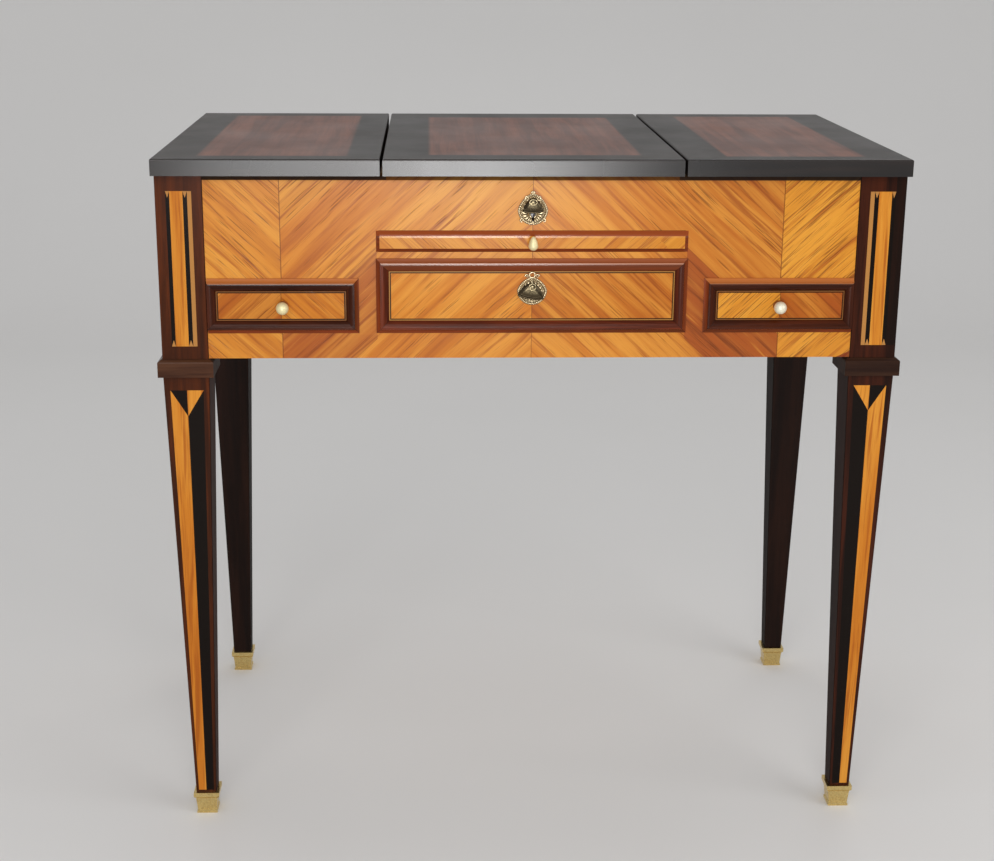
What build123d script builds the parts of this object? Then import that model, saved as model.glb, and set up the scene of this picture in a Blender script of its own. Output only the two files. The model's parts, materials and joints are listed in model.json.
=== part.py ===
from build123d import *
import os
from math import asin, cos, sin, sqrt

# Poudreuse: a small Louis XVI dressing table on four square tapering legs. Its top is three
# flaps: the two outer ones fold outwards over wells, the middle one lifts and has a mirror
# underneath. Below are a writing slide, a centre drawer and two side drawers.
# Millimetres. +X to the right, -Y to the front, +Z up. The origin is on the floor, under the
# centre of the closed top.

# ------------------------------------------------------------------ overall
total_height = 768
top_width = 800
top_depth = 472
flap_thickness = 18
flap_gap = 3  # between neighbouring flaps
centre_flap_pitch = 320  # between the middles of the two gaps
flap_edge_radius = 2
side_overhang = 2
front_overhang = 12
back_overhang = 2

# ------------------------------------------------------------------ legs
leg_square = 50
leg_ankle = 23.5  # width of the leg where it enters its sabot
leg_tenon = 16  # square stub inside the sabot
arris_width = 0.8
collar_drop = 0.5  # from the bottom of the case down to the collar
collar_height = 19.5
collar_overhang = 5
collar_bevel_height = 3
collar_bevel_width = 4
collar_arris = 0.6  # worn edge under the bevel
sabot_height = 27
sabot_rim = 29.5
sabot_rim_height = 5.2
sabot_neck = 25  # width under the rim
sabot_neck_height = 19.5
sabot_waist = 21.6  # width over the toe
sabot_toe = 23.6
sabot_toe_height = 3.2
sabot_toe_bevel = 0.9
sabot_sole = 3

# ------------------------------------------------------------------ case
panel_thickness = 16
front_panel_height = 59  # over the writing slide
panel_recess = 1  # panels stand back from the faces of the posts
tongue_length = 8
tongue_thickness = 6
board_thickness = 12  # bottom board
floor_thickness = 8  # floors of the wells
drawer_rail_depth = 36
rest_width = 38.5  # rails that carry the inner edges of the flaps
rest_height = 10
guide_height = 14

# ------------------------------------------------------------------ drawers
lip_rise = 28  # from the bottom of the case up to the moulded drawer fronts
side_lip_height = 59.5
centre_lip_height = 81
centre_lip_half = 167
side_lip_inner = 185.5
lip_lap = 3  # how far a lip laps over its opening
slide_gap = 0.3  # running clearance of everything that slides
post_gap = 0.5  # between a side drawer's front and its post
moulding_width = 13.5
moulding_height = 5.5
moulding_edge = 1.5  # height of its outer edge
moulding_swell = 4.4  # width of its rounded outer part
moulding_crest = 1.2  # width of its flat top
post_trim = 4.2  # what a side drawer's moulding loses beside its post
swell_sag = 1.1
hollow_sag = 1.3
field_height = 1.5  # veneered field of a drawer front above the facade
front_thickness = 18
drawer_back_gap = 22  # behind a closed drawer
drawer_wall = 9
drawer_bottom_thickness = 6
drawer_groove = 4  # depth of the groove that holds a drawer's bottom
drawer_bottom_rise = 6
wall_drop = 8  # sides and back of a drawer below the top of its front
tail_pitch = 22  # about, from one dovetail to the next
tail_share = 0.64  # widest part of a tail, as a share of the pitch
tail_length = 12  # of the tails let into a front; those in a back go through it
tail_angle = 80

# ------------------------------------------------------------------ writing slide
slide_rise = 7  # of its front above the centre drawer's
slide_front_height = 22.4
slide_front_half = 166.5
slide_front_proud = 3
slide_bevel_width = 3.7
slide_bevel_depth = 2.6
slide_opening_height = 23
slide_board_thickness = 15.5
slide_back_gap = 84  # behind the closed slide
slide_travel = 230
leather_thickness = 1
leather_margin = 14
stop_depth = 12
stop_height = 6
stop_gap = 2
stop_play = 2  # the slide stops this far beyond its useful travel
floor_lift = 0.5

# ------------------------------------------------------------------ hinges
hinge_length = 50
knuckle_radius = 3
hinge_pin_radius = 1.5
running_gap = 0.05  # radial clearance of a pin in its hole
knuckle_gap = 0.3
knuckle_middle = 16.4
leaf_thickness = 1.5
leaf_width = 15
leaf_inset = 3.5  # from the axis to the plain part of the leaf
axis_offset = 2  # axis of a hinge beyond the edge of its flap
notch_gap = 0.5
side_hinge_spread = 130  # hinges stand at plus and minus this from the middle
centre_hinge_spread = 100

# ------------------------------------------------------------------ mirror
mirror_side_gap = 7  # from the flap rests to the frame
mirror_lock_gap = 21  # from the lid's lock to the frame
mirror_back_gap = 32
mirror_frame_width = 20
mirror_frame_thickness = 8
mirror_frame_radius = 3
mirror_rebate = 5
mirror_glass_thickness = 4

# ------------------------------------------------------------------ locks, escutcheons, knobs
lock_half_width = 30
lock_floor_gap = 2.5  # between the lid's lock and the floor of the well
drawer_lock_height = 44
lock_depth = 11
lock_selvage_overhang = 5
lock_selvage_thickness = 2
lock_bolt_width = 22
lock_bolt_height = 8
lock_bolt_thickness = 5
bolt_gap = 0.1
lock_bolt_drop = 6  # the bolt is withdrawn this far below the selvage
strike_half_width = 22
strike_width = 10
strike_play = 0.6
key_pin_radius = 1.2
key_pin_length = 10
keyhole_radius = 2.4
keyhole_slot = 2.2
keyhole_drop = 7
plate_width = 32
lid_plate_height = 36.5
drawer_plate_height = 30
shoulder_share = 0.34  # shoulder of a plate, as a share of its width from the middle
shoulder_rise = 0.62  # and of the way from its belly to its top
plate_thickness = 1.5
lid_plate_drop = 11  # foot of the plate below its keyhole
drawer_plate_drop = 13
ring_outer = 4
ring_inner = 2
ring_overlap = 1.8
lid_keyhole_drop = 42  # below the top of the carcass
drawer_keyhole_rise = 44  # above the foot of the drawer's front
lid_cover_width = 22
lid_cover_height = 16.5
lid_cover_rise = 1.5  # foot of the cover above its keyhole
drawer_cover_width = 28
drawer_cover_height = 18.5
drawer_cover_rise = -7
cover_thickness = 1.2
cover_lip_sag = 2
cover_lip_height = 2.4  # thick lower edge of a cover
cover_lip_thickness = 2.6
cover_hip_share = 0.36
cover_hip_rise = 0.62
cover_gap = 0.3
cover_pin_drop = 4.5  # pivot below the top of a cover
cover_pin_radius = 1
rivet_head_radius = 2.4
rivet_head_height = 1
knob_radius = 6.8
knob_reach = 20
knob_stem_radius = 3
knob_base_radius = 5.5
knob_base_height = 2
slide_knob_radius = 5.2
slide_knob_height = 15
slide_knob_neck_radius = 2.6
slide_knob_reach = 12
knob_tang = 3.5  # square tang that is let into the wood
knob_tang_length = 8
pear_tip_radius = 2.4

# ------------------------------------------------------------------ places worked out from them
carcass_top = total_height - flap_thickness
half_width = top_width / 2
half_depth = top_depth / 2
outer_x = half_width - side_overhang
post_x = outer_x - leg_square / 2
inner_x = outer_x - leg_square
front_y = -half_depth + front_overhang
back_y = half_depth - back_overhang
post_front_y = front_y + leg_square / 2
post_back_y = back_y - leg_square / 2
slide_opening_top = carcass_top - front_panel_height
slide_opening_bottom = slide_opening_top - slide_opening_height
centre_lip_top = slide_opening_bottom - slide_rise
drawer_lip_bottom = centre_lip_top - centre_lip_height
case_bottom = drawer_lip_bottom - lip_rise
collar_top = case_bottom - collar_drop
collar_bottom = collar_top - collar_height
collar_half = leg_square / 2 + collar_overhang
collar_bevel_z = collar_top - collar_bevel_height
axis_x = half_width + axis_offset
axis_y = half_depth + axis_offset

facade_y = front_y + panel_recess
facade_back_y = facade_y + panel_thickness
rear_y = back_y - panel_recess
rear_inner_y = rear_y - panel_thickness
side_x = outer_x - panel_recess
side_inner_x = side_x - panel_thickness
side_front_y = front_y + leg_square
side_back_y = back_y - leg_square

side_lip_top = drawer_lip_bottom + side_lip_height
opening_bottom = drawer_lip_bottom + lip_lap
side_opening_top = side_lip_top - lip_lap
centre_opening_top = centre_lip_top - lip_lap
partition_in = centre_lip_half - lip_lap
partition_out = side_lip_inner + lip_lap
drawer_back_y = rear_inner_y - drawer_back_gap
front_back_y = facade_y + front_thickness
field_y = facade_y - field_height
slide_back_y = rear_inner_y - slide_back_gap
slide_board_length = slide_back_y - facade_back_y
stop_back_y = slide_back_y - stop_depth - slide_travel - stop_play
lid_keyhole_z = carcass_top - lid_keyhole_drop
drawer_keyhole_z = drawer_lip_bottom + drawer_keyhole_rise
lid_plate_bottom = lid_keyhole_z - lid_plate_drop
drawer_plate_bottom = drawer_keyhole_z - drawer_plate_drop
lid_cover_bottom = lid_keyhole_z + lid_cover_rise
drawer_cover_bottom = drawer_keyhole_z + drawer_cover_rise
lid_lock_height = front_panel_height - floor_lift - floor_thickness - lock_floor_gap
mirror_half_width = partition_out - rest_width - mirror_side_gap
mirror_front_y = facade_back_y + lock_depth + mirror_lock_gap
mirror_back_y = rear_inner_y - mirror_back_gap
mirror_middle_y = (mirror_front_y + mirror_back_y) / 2
mirror_depth = mirror_back_y - mirror_front_y
mirror_sight_width = 2 * (mirror_half_width - mirror_frame_width)
mirror_sight_depth = mirror_depth - 2 * mirror_frame_width


def finish(piece, name):
    """Label a finished piece and write it to its own file."""
    piece.part.label = name
    export_step(piece.part, f"parts/{name}.step")


def board(x_range, y_range, z_range):
    """A plain board between two corners."""
    with BuildPart() as piece:
        with BuildSketch(Plane.XY.offset(z_range[0])):
            with Locations((sum(x_range) / 2, sum(y_range) / 2)):
                Rectangle(x_range[1] - x_range[0], y_range[1] - y_range[0])
        extrude(amount=z_range[1] - z_range[0])
    return piece


def at_y(y):
    """The upright plane at y, drawn as seen from the front: X to the right, Z up."""
    return Plane.XZ.offset(-y)


def mirrored(piece):
    """The same piece on the other side of the table."""
    with BuildPart() as other:
        add(mirror(piece.part, about=Plane.YZ, mode=Mode.PRIVATE))
    return other


os.makedirs("parts", exist_ok=True)

# ------------------------------------------------------------------ legs, collars and sabots
legs = {
    "leg_front_left": (-1, -1),
    "leg_front_right": (1, -1),
    "leg_rear_left": (-1, 1),
    "leg_rear_right": (1, 1),
}
post_y = {-1: post_front_y, 1: post_back_y}
panel_middle_y = {-1: facade_y + panel_thickness / 2, 1: rear_y - panel_thickness / 2}
side_panel_middle = side_x - panel_thickness / 2

# The tapering leg is the shape shared by two crossed extrusions of its outline, like the collar
# and the sabot below.
with BuildPart() as leg_blank:
    for plane, mode in ((Plane.XZ, Mode.ADD), (Plane.YZ, Mode.INTERSECT)):
        with BuildSketch(plane):
            with BuildLine():
                Polyline(
                    (0, sabot_height),
                    (leg_ankle / 2, sabot_height),
                    (leg_square / 2, collar_bottom),
                    (0, collar_bottom),
                )
                mirror(about=Plane.YZ)
            make_face()
        extrude(amount=leg_square, both=True, mode=mode)
    chamfer(leg_blank.edges().group_by(SortBy.LENGTH)[-1], arris_width)
    with BuildSketch(Plane.XY.offset(collar_bottom)) as section:
        Rectangle(leg_square, leg_square)
        chamfer(section.vertices(), arris_width)
    extrude(amount=carcass_top - collar_bottom)
    with BuildSketch(Plane.XY.offset(sabot_sole)):
        Rectangle(leg_tenon, leg_tenon)
    extrude(amount=sabot_height - sabot_sole)

for name, (side, end) in legs.items():
    groove_x = side * (inner_x + tongue_length / 2)
    groove_y = post_y[end] - end * (leg_square - tongue_length) / 2
    with BuildPart() as leg:
        with Locations((side * post_x, post_y[end])):
            add(leg_blank.part)
        # Grooves for the tongues of the panels, in the two inner faces of the post.
        with BuildSketch(Plane.XY.offset(case_bottom)):
            with Locations((groove_x, panel_middle_y[end])):
                Rectangle(tongue_length, tongue_thickness)
            with Locations((side * side_panel_middle, groove_y)):
                Rectangle(tongue_thickness, tongue_length)
        extrude(amount=carcass_top - case_bottom, mode=Mode.SUBTRACT)
    finish(leg, name)

leg_centres = [(side * post_x, post_y[end]) for side, end in legs.values()]

with BuildPart() as collar:
    for plane, mode in ((Plane.XZ, Mode.ADD), (Plane.YZ, Mode.INTERSECT)):
        with BuildSketch(plane):
            with BuildLine():
                Polyline(
                    (0, collar_bottom),
                    (collar_half, collar_bottom),
                    (collar_half, collar_bevel_z - collar_arris),
                    (collar_half - collar_arris / 2, collar_bevel_z + collar_arris / 2),
                    (collar_half - collar_bevel_width, collar_top),
                    (0, collar_top),
                )
                mirror(about=Plane.YZ)
            make_face()
        extrude(amount=collar_half, both=True, mode=mode)
    with BuildSketch(Plane.XY.offset(collar_bottom)):
        Rectangle(leg_square, leg_square)
    extrude(amount=collar_height, mode=Mode.SUBTRACT)
with BuildPart() as leg_collars:
    with Locations(*leg_centres):
        add(collar.part)
finish(leg_collars, "leg_collars")

with BuildPart() as sabot:
    for plane, mode in ((Plane.XZ, Mode.ADD), (Plane.YZ, Mode.INTERSECT)):
        with BuildSketch(plane):
            with BuildLine():
                Polyline(
                    (0, 0),
                    (sabot_toe / 2, 0),
                    (sabot_toe / 2, sabot_toe_height - sabot_toe_bevel),
                    (sabot_waist / 2, sabot_toe_height),
                    (sabot_neck / 2, sabot_neck_height),
                    (sabot_rim / 2, sabot_height - sabot_rim_height),
                    (sabot_rim / 2, sabot_height),
                    (0, sabot_height),
                )
                mirror(about=Plane.YZ)
            make_face()
        extrude(amount=sabot_rim, both=True, mode=mode)
    with BuildSketch(Plane.XY.offset(sabot_sole)):
        Rectangle(leg_tenon, leg_tenon)
    extrude(amount=sabot_height - sabot_sole, mode=Mode.SUBTRACT)
with BuildPart() as leg_sabots:
    with Locations(*leg_centres):
        add(sabot.part)
finish(leg_sabots, "leg_sabots")

# ------------------------------------------------------------------ panels of the case
hinge_middles = {
    "left": [(-axis_x, y, carcass_top) for y in (-side_hinge_spread, side_hinge_spread)],
    "right": [(axis_x, y, carcass_top) for y in (-side_hinge_spread, side_hinge_spread)],
    "centre": [(x, axis_y, carcass_top) for x in (-centre_hinge_spread, centre_hinge_spread)],
}
# Local x runs from a hinge's axis into the table, local y up, local z along the axis.
hinge_inward = {"left": (1, 0, 0), "right": (-1, 0, 0), "centre": (0, -1, 0)}
hinge_along = {"left": (0, -1, 0), "right": (0, 1, 0), "centre": (-1, 0, 0)}
hinge_planes = {
    flap: [Plane(origin=o, x_dir=hinge_inward[flap], z_dir=hinge_along[flap]) for o in places]
    for flap, places in hinge_middles.items()
}


def leaf_seat(plane, direction, gap):
    """A cutter for a leaf let into the wood below (-1) or above (1) the joint."""
    with BuildPart() as seat:
        with BuildSketch(plane):
            with Locations((0, direction * leaf_thickness / 2)):
                Rectangle(leaf_inset + leaf_width, leaf_thickness, align=(Align.MIN, Align.CENTER))
        extrude(amount=hinge_length / 2 + gap, both=True)
    return seat.part


side_span = side_back_y - side_front_y
side_middle_y = (side_back_y + side_front_y) / 2
side_seats = [leaf_seat(plane, -1, 0) for plane in hinge_planes["right"]]
with BuildPart() as right_side_panel:
    with BuildSketch(Plane.XY.offset(case_bottom)):
        with Locations((side_panel_middle, side_middle_y)):
            Rectangle(panel_thickness, side_span)
            Rectangle(tongue_thickness, side_span + 2 * tongue_length)
    extrude(amount=carcass_top - case_bottom)
    add(side_seats, mode=Mode.SUBTRACT)
finish(right_side_panel, "right_side_panel")
left_side_panel = mirrored(right_side_panel)
finish(left_side_panel, "left_side_panel")

back_seats = [leaf_seat(plane, -1, 0) for plane in hinge_planes["centre"]]
with BuildPart() as back_panel:
    with BuildSketch(Plane.XY.offset(case_bottom)):
        with Locations((0, panel_middle_y[1])):
            Rectangle(2 * inner_x, panel_thickness)
            Rectangle(2 * (inner_x + tongue_length), tongue_thickness)
    extrude(amount=carcass_top - case_bottom)
    add(back_seats, mode=Mode.SUBTRACT)
finish(back_panel, "back_panel")

with BuildPart() as front_bottom_rail:
    with BuildSketch(Plane.XY.offset(case_bottom)):
        with Locations((0, panel_middle_y[-1])):
            Rectangle(2 * inner_x, panel_thickness)
            Rectangle(2 * (inner_x + tongue_length), tongue_thickness)
    extrude(amount=opening_bottom - case_bottom)
finish(front_bottom_rail, "front_bottom_rail")

# Each side of the front is one piece: the panel over the side drawer and the stile beside it.
with BuildPart() as front_right_panel:
    with BuildSketch(at_y(facade_back_y)):
        with BuildLine():
            Polyline(
                (partition_in, opening_bottom),
                (partition_out, opening_bottom),
                (partition_out, side_opening_top),
                (inner_x, side_opening_top),
                (inner_x, carcass_top),
                (partition_in, carcass_top),
                close=True,
            )
        make_face()
    extrude(amount=panel_thickness)
    with BuildSketch(Plane.XY.offset(side_opening_top)):
        with Locations((inner_x, panel_middle_y[-1])):
            Rectangle(tongue_length, tongue_thickness, align=(Align.MIN, Align.CENTER))
    extrude(amount=carcass_top - side_opening_top)
finish(front_right_panel, "front_right_panel")
front_left_panel = mirrored(front_right_panel)
finish(front_left_panel, "front_left_panel")

with BuildPart() as front_centre_panel:
    with BuildSketch(at_y(facade_back_y)):
        with BuildLine():
            Polyline(
                (-partition_in, slide_opening_top),
                (partition_in, slide_opening_top),
                (partition_in, carcass_top),
                (-partition_in, carcass_top),
                close=True,
            )
        make_face()
    extrude(amount=panel_thickness)
    with BuildSketch(at_y(facade_back_y)):
        with Locations((0, lid_keyhole_z)):
            Circle(keyhole_radius)
            Rectangle(keyhole_slot, keyhole_drop, align=(Align.CENTER, Align.MAX))
    extrude(amount=panel_thickness, mode=Mode.SUBTRACT)
finish(front_centre_panel, "front_centre_panel")

# ------------------------------------------------------------------ inside of the case
with BuildPart() as bottom_board:
    with BuildSketch(Plane.XY.offset(opening_bottom - board_thickness)):
        with Locations((0, (facade_back_y + rear_inner_y) / 2)):
            Rectangle(2 * side_inner_x, rear_inner_y - facade_back_y)
        with Locations(*leg_centres):
            Rectangle(leg_square, leg_square, mode=Mode.SUBTRACT)
    extrude(amount=board_thickness)
finish(bottom_board, "bottom_board")

with BuildPart() as partitions:
    with BuildSketch(Plane.XY.offset(opening_bottom)):
        with Locations((0, (facade_back_y + rear_inner_y) / 2)):
            with GridLocations(partition_in + partition_out, 0, 2, 1):
                Rectangle(partition_out - partition_in, rear_inner_y - facade_back_y)
    extrude(amount=carcass_top - rest_height - opening_bottom)
finish(partitions, "partitions")

with BuildPart() as flap_rests:
    with BuildSketch(Plane.XY.offset(carcass_top - rest_height)):
        with Locations((0, (facade_back_y + rear_inner_y) / 2)):
            with GridLocations(2 * partition_out - rest_width, 0, 2, 1):
                Rectangle(rest_width, rear_inner_y - facade_back_y)
    extrude(amount=rest_height)
finish(flap_rests, "flap_rests")

drawer_rail = board(
    (-partition_in, partition_in),
    (facade_y, facade_y + drawer_rail_depth),
    (centre_opening_top, slide_opening_bottom),
)
finish(drawer_rail, "drawer_rail")

slide_dust_board = board(
    (-partition_in, partition_in),
    (facade_y + drawer_rail_depth, rear_inner_y),
    (centre_opening_top, slide_opening_bottom),
)
finish(slide_dust_board, "slide_dust_board")

centre_well_floor = board(
    (-partition_in, partition_in),
    (facade_back_y, rear_inner_y),
    (slide_opening_top + floor_lift, slide_opening_top + floor_lift + floor_thickness),
)
finish(centre_well_floor, "centre_well_floor")

slide_stop_rail = board(
    (-partition_in, partition_in),
    (stop_back_y - stop_depth, stop_back_y),
    (slide_opening_top + floor_lift - stop_height, slide_opening_top + floor_lift),
)
finish(slide_stop_rail, "slide_stop_rail")

with BuildPart() as side_well_floors:
    with BuildSketch(Plane.XY.offset(side_opening_top)):
        with Locations((0, (facade_back_y + rear_inner_y) / 2)):
            with GridLocations(partition_out + side_inner_x, 0, 2, 1):
                Rectangle(side_inner_x - partition_out, rear_inner_y - facade_back_y)
        with Locations(*leg_centres):
            Rectangle(leg_square, leg_square, mode=Mode.SUBTRACT)
    extrude(amount=floor_thickness)
finish(side_well_floors, "side_well_floors")

with BuildPart() as drawer_guides:
    with BuildSketch(Plane.XY.offset(opening_bottom)):
        with Locations((0, side_middle_y)):
            with GridLocations(inner_x + side_inner_x, 0, 2, 1):
                Rectangle(side_inner_x - inner_x, side_span)
    extrude(amount=guide_height)
finish(drawer_guides, "drawer_guides")

# ------------------------------------------------------------------ hinges
fixed_knuckles = ((-hinge_length / 2, -knuckle_middle / 2), (knuckle_middle / 2, hinge_length / 2))
moving_knuckle = ((-knuckle_middle / 2 + knuckle_gap, knuckle_middle / 2 - knuckle_gap),)


def hinge_leaves(planes, direction, knuckles, bore=None):
    """Leaves of one half of some hinges: below the joint (-1) or above it (1)."""
    leaf_y = direction * leaf_thickness / 2
    with BuildPart() as leaves:
        for plane in planes:
            with BuildSketch(plane):
                with Locations((leaf_inset, leaf_y)):
                    Rectangle(leaf_width, leaf_thickness, align=(Align.MIN, Align.CENTER))
            extrude(amount=hinge_length / 2, both=True)
            for start, end in knuckles:
                with BuildSketch(plane.offset(start)):
                    Circle(knuckle_radius)
                    with Locations((0, leaf_y)):
                        Rectangle(leaf_inset, leaf_thickness, align=(Align.MIN, Align.CENTER))
                    if bore:
                        Circle(bore, mode=Mode.SUBTRACT)
                extrude(amount=end - start)
    return leaves


all_planes = [plane for planes in hinge_planes.values() for plane in planes]
# The pins are riveted into the fixed knuckles, so that they are one piece with them.
with BuildPart() as hinge_case_leaves:
    add(hinge_leaves(all_planes, -1, fixed_knuckles).part)
    for plane in all_planes:
        with BuildSketch(plane):
            Circle(hinge_pin_radius)
        extrude(amount=knuckle_middle / 2, both=True)
finish(hinge_case_leaves, "hinge_case_leaves")
for flap, planes in hinge_planes.items():
    leaves = hinge_leaves(planes, 1, moving_knuckle, hinge_pin_radius + running_gap)
    finish(leaves, f"{flap}_flap_hinge_leaves")

# ------------------------------------------------------------------ flaps
side_flap_in = (centre_flap_pitch + flap_gap) / 2
centre_flap_half = (centre_flap_pitch - flap_gap) / 2
strike_y = facade_back_y + strike_width / 2


def flap_board(x_range, planes, has_strike=False):
    """One panel of the top, with seats for its hinge leaves and notches for the knuckles."""
    seats = [leaf_seat(plane, 1, 0) for plane in planes]
    with BuildPart() as flap:
        with BuildSketch(Plane.XY.offset(carcass_top)):
            with Locations((sum(x_range) / 2, 0)):
                Rectangle(x_range[1] - x_range[0], top_depth)
        extrude(amount=flap_thickness)
        fillet(flap.faces().sort_by(Axis.Z)[-1].edges(), flap_edge_radius)
        add(seats, mode=Mode.SUBTRACT)
        for plane in planes:
            with BuildSketch(plane):
                Circle(knuckle_radius + notch_gap)
            extrude(amount=hinge_length / 2 + notch_gap, both=True, mode=Mode.SUBTRACT)
        if has_strike:
            with BuildSketch(Plane.XY.offset(carcass_top)):
                with Locations((0, strike_y)):
                    Rectangle(2 * strike_half_width, strike_width)
            extrude(amount=leaf_thickness, mode=Mode.SUBTRACT)
    return flap


right_flap = flap_board((side_flap_in, half_width), hinge_planes["right"])
finish(right_flap, "right_flap")
left_flap = mirrored(right_flap)
finish(left_flap, "left_flap")

centre_flap = flap_board(
    (-centre_flap_half, centre_flap_half), hinge_planes["centre"], has_strike=True
)
finish(centre_flap, "centre_flap")

# ------------------------------------------------------------------ mirror
frame_bottom = carcass_top - mirror_frame_thickness
with BuildPart() as mirror_frame:
    with BuildSketch(Plane.XY.offset(frame_bottom)):
        with Locations((0, mirror_middle_y)):
            Rectangle(2 * mirror_half_width, mirror_depth)
    extrude(amount=mirror_frame_thickness)
    fillet(mirror_frame.faces().sort_by(Axis.Z)[0].edges(), mirror_frame_radius)
    with BuildSketch(Plane.XY.offset(frame_bottom)):
        with Locations((0, mirror_middle_y)):
            Rectangle(mirror_sight_width, mirror_sight_depth)
    extrude(amount=mirror_frame_thickness, mode=Mode.SUBTRACT)
    with BuildSketch(Plane.XY.offset(carcass_top - mirror_glass_thickness)):
        with Locations((0, mirror_middle_y)):
            Rectangle(mirror_sight_width + 2 * mirror_rebate, mirror_sight_depth + 2 * mirror_rebate)
    extrude(amount=mirror_glass_thickness, mode=Mode.SUBTRACT)
finish(mirror_frame, "mirror_frame")

with BuildPart() as mirror_glass:
    with BuildSketch(Plane.XY.offset(carcass_top - mirror_glass_thickness)):
        with Locations((0, mirror_middle_y)):
            Rectangle(mirror_sight_width + 2 * mirror_rebate, mirror_sight_depth + 2 * mirror_rebate)
    extrude(amount=mirror_glass_thickness)
finish(mirror_glass, "mirror_glass")

# ------------------------------------------------------------------ writing slide
slide_bottom = slide_opening_bottom + slide_gap
slide_half = partition_in - slide_gap
leather_half = slide_half - leather_margin
leather_front_y = facade_back_y + leather_margin
leather_length = slide_board_length - 2 * leather_margin
slide_top = slide_bottom + slide_board_thickness
slide_face_y = facade_y - slide_front_proud
slide_knob_z = slide_bottom + slide_front_height / 2

with BuildPart() as slide_front:
    with BuildSketch(Plane.XY.offset(slide_bottom)):
        with Locations((0, facade_back_y)):
            Rectangle(2 * slide_half, panel_thickness, align=(Align.CENTER, Align.MAX))
        with Locations((0, facade_y)):
            Rectangle(2 * slide_front_half, slide_front_proud, align=(Align.CENTER, Align.MAX))
    extrude(amount=slide_front_height)
    face = slide_front.faces().sort_by(Axis.Y)[0]
    chamfer(face.edges(), slide_bevel_width, slide_bevel_depth, reference=face)
    with BuildSketch(at_y(slide_face_y)):
        with Locations((0, slide_knob_z)):
            Rectangle(knob_tang, knob_tang)
    extrude(amount=-knob_tang_length, mode=Mode.SUBTRACT)
finish(slide_front, "slide_front")

with BuildPart() as slide_board:
    with BuildSketch(Plane.XY.offset(slide_bottom)):
        with Locations((0, facade_back_y)):
            Rectangle(2 * slide_half, slide_board_length, align=(Align.CENTER, Align.MIN))
    extrude(amount=slide_board_thickness)
    with BuildSketch(Plane.XY.offset(slide_top - leather_thickness)):
        with Locations((0, leather_front_y)):
            Rectangle(2 * leather_half, leather_length, align=(Align.CENTER, Align.MIN))
    extrude(amount=leather_thickness, mode=Mode.SUBTRACT)
finish(slide_board, "slide_board")

slide_leather = board(
    (-leather_half, leather_half),
    (leather_front_y, leather_front_y + leather_length),
    (slide_top - leather_thickness, slide_top),
)
finish(slide_leather, "slide_leather")

slide_stop = board(
    (-slide_half, slide_half),
    (slide_back_y - stop_depth, slide_back_y),
    (slide_top, slide_top + stop_height - stop_gap),
)
finish(slide_stop, "slide_stop")


# ------------------------------------------------------------------ knobs
# A turned ball knob on a tapering stem, with a square tang that is let into the drawer's front.
# Local x of its section is the radius, local y runs out to the front.
knob_ball_middle = knob_reach - knob_radius
knob_ball_start = knob_ball_middle - sqrt(knob_radius**2 - knob_stem_radius**2)
with BuildPart() as round_knob:
    with BuildSketch(Plane(origin=(0, 0, 0), x_dir=(1, 0, 0), z_dir=(0, 0, -1))):
        with BuildLine():
            Polyline(
                (0, knob_reach),
                (0, 0),
                (knob_base_radius, 0),
                (knob_base_radius, knob_base_height),
                (knob_stem_radius, knob_ball_start),
            )
            ThreePointArc(
                (knob_stem_radius, knob_ball_start),
                (knob_radius, knob_ball_middle),
                (0, knob_reach),
            )
        make_face()
    revolve(axis=Axis((0, 0, 0), (0, -1, 0)))
    with BuildSketch(at_y(0)):
        Rectangle(knob_tang, knob_tang)
    extrude(amount=-knob_tang_length)

# The slide's knob is a small pear that stands upright on a round neck.
pear_middle = (0, slide_face_y - slide_knob_reach, slide_knob_z)
pear_top = slide_knob_height / 2
belly_z = slide_knob_radius - pear_top
tip_z = pear_top - pear_tip_radius
flank_angle = asin((slide_knob_radius - pear_tip_radius) / (tip_z - belly_z))
flank = [
    (radius * cos(flank_angle), z + radius * sin(flank_angle))
    for radius, z in ((slide_knob_radius, belly_z), (pear_tip_radius, tip_z))
]
with BuildPart() as slide_knob:
    with BuildSketch(Plane(origin=pear_middle, x_dir=(1, 0, 0), z_dir=(0, -1, 0))):
        with BuildLine():
            ThreePointArc((0, -pear_top), (slide_knob_radius, belly_z), flank[0])
            Line(*flank)
            TangentArc(flank[1], (0, pear_top), tangent=Vector(flank[1]) - Vector(flank[0]))
            Line((0, pear_top), (0, -pear_top))
        make_face()
    revolve(axis=Axis(pear_middle, (0, 0, 1)))
    with BuildSketch(at_y(slide_face_y)):
        with Locations((0, slide_knob_z)):
            Circle(slide_knob_neck_radius)
    extrude(amount=slide_knob_reach)
    with BuildSketch(at_y(slide_face_y)):
        with Locations((0, slide_knob_z)):
            Rectangle(knob_tang, knob_tang)
    extrude(amount=-knob_tang_length)
finish(slide_knob, "slide_knob")


# ------------------------------------------------------------------ locks
def lock(back_y, top, height, keyhole_z):
    """A box lock on the back of a front: its case, with selvage, key pin and bolt slot."""
    with BuildPart() as case:
        with BuildSketch(at_y(back_y + lock_depth)):
            with Locations((0, top)):
                Rectangle(2 * lock_half_width, height, align=(Align.CENTER, Align.MAX))
                selvage_width = 2 * (lock_half_width + lock_selvage_overhang)
                Rectangle(selvage_width, lock_selvage_thickness, align=(Align.CENTER, Align.MAX))
        extrude(amount=lock_depth)
        with BuildSketch(at_y(back_y)):
            with Locations((0, keyhole_z)):
                Circle(key_pin_radius)
        extrude(amount=key_pin_length)
        with BuildSketch(Plane.XY.offset(top)):
            with Locations((0, back_y + lock_depth / 2)):
                Rectangle(lock_bolt_width, lock_bolt_thickness)
        extrude(amount=-lock_bolt_drop - lock_bolt_height, mode=Mode.SUBTRACT)
    return case


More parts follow.
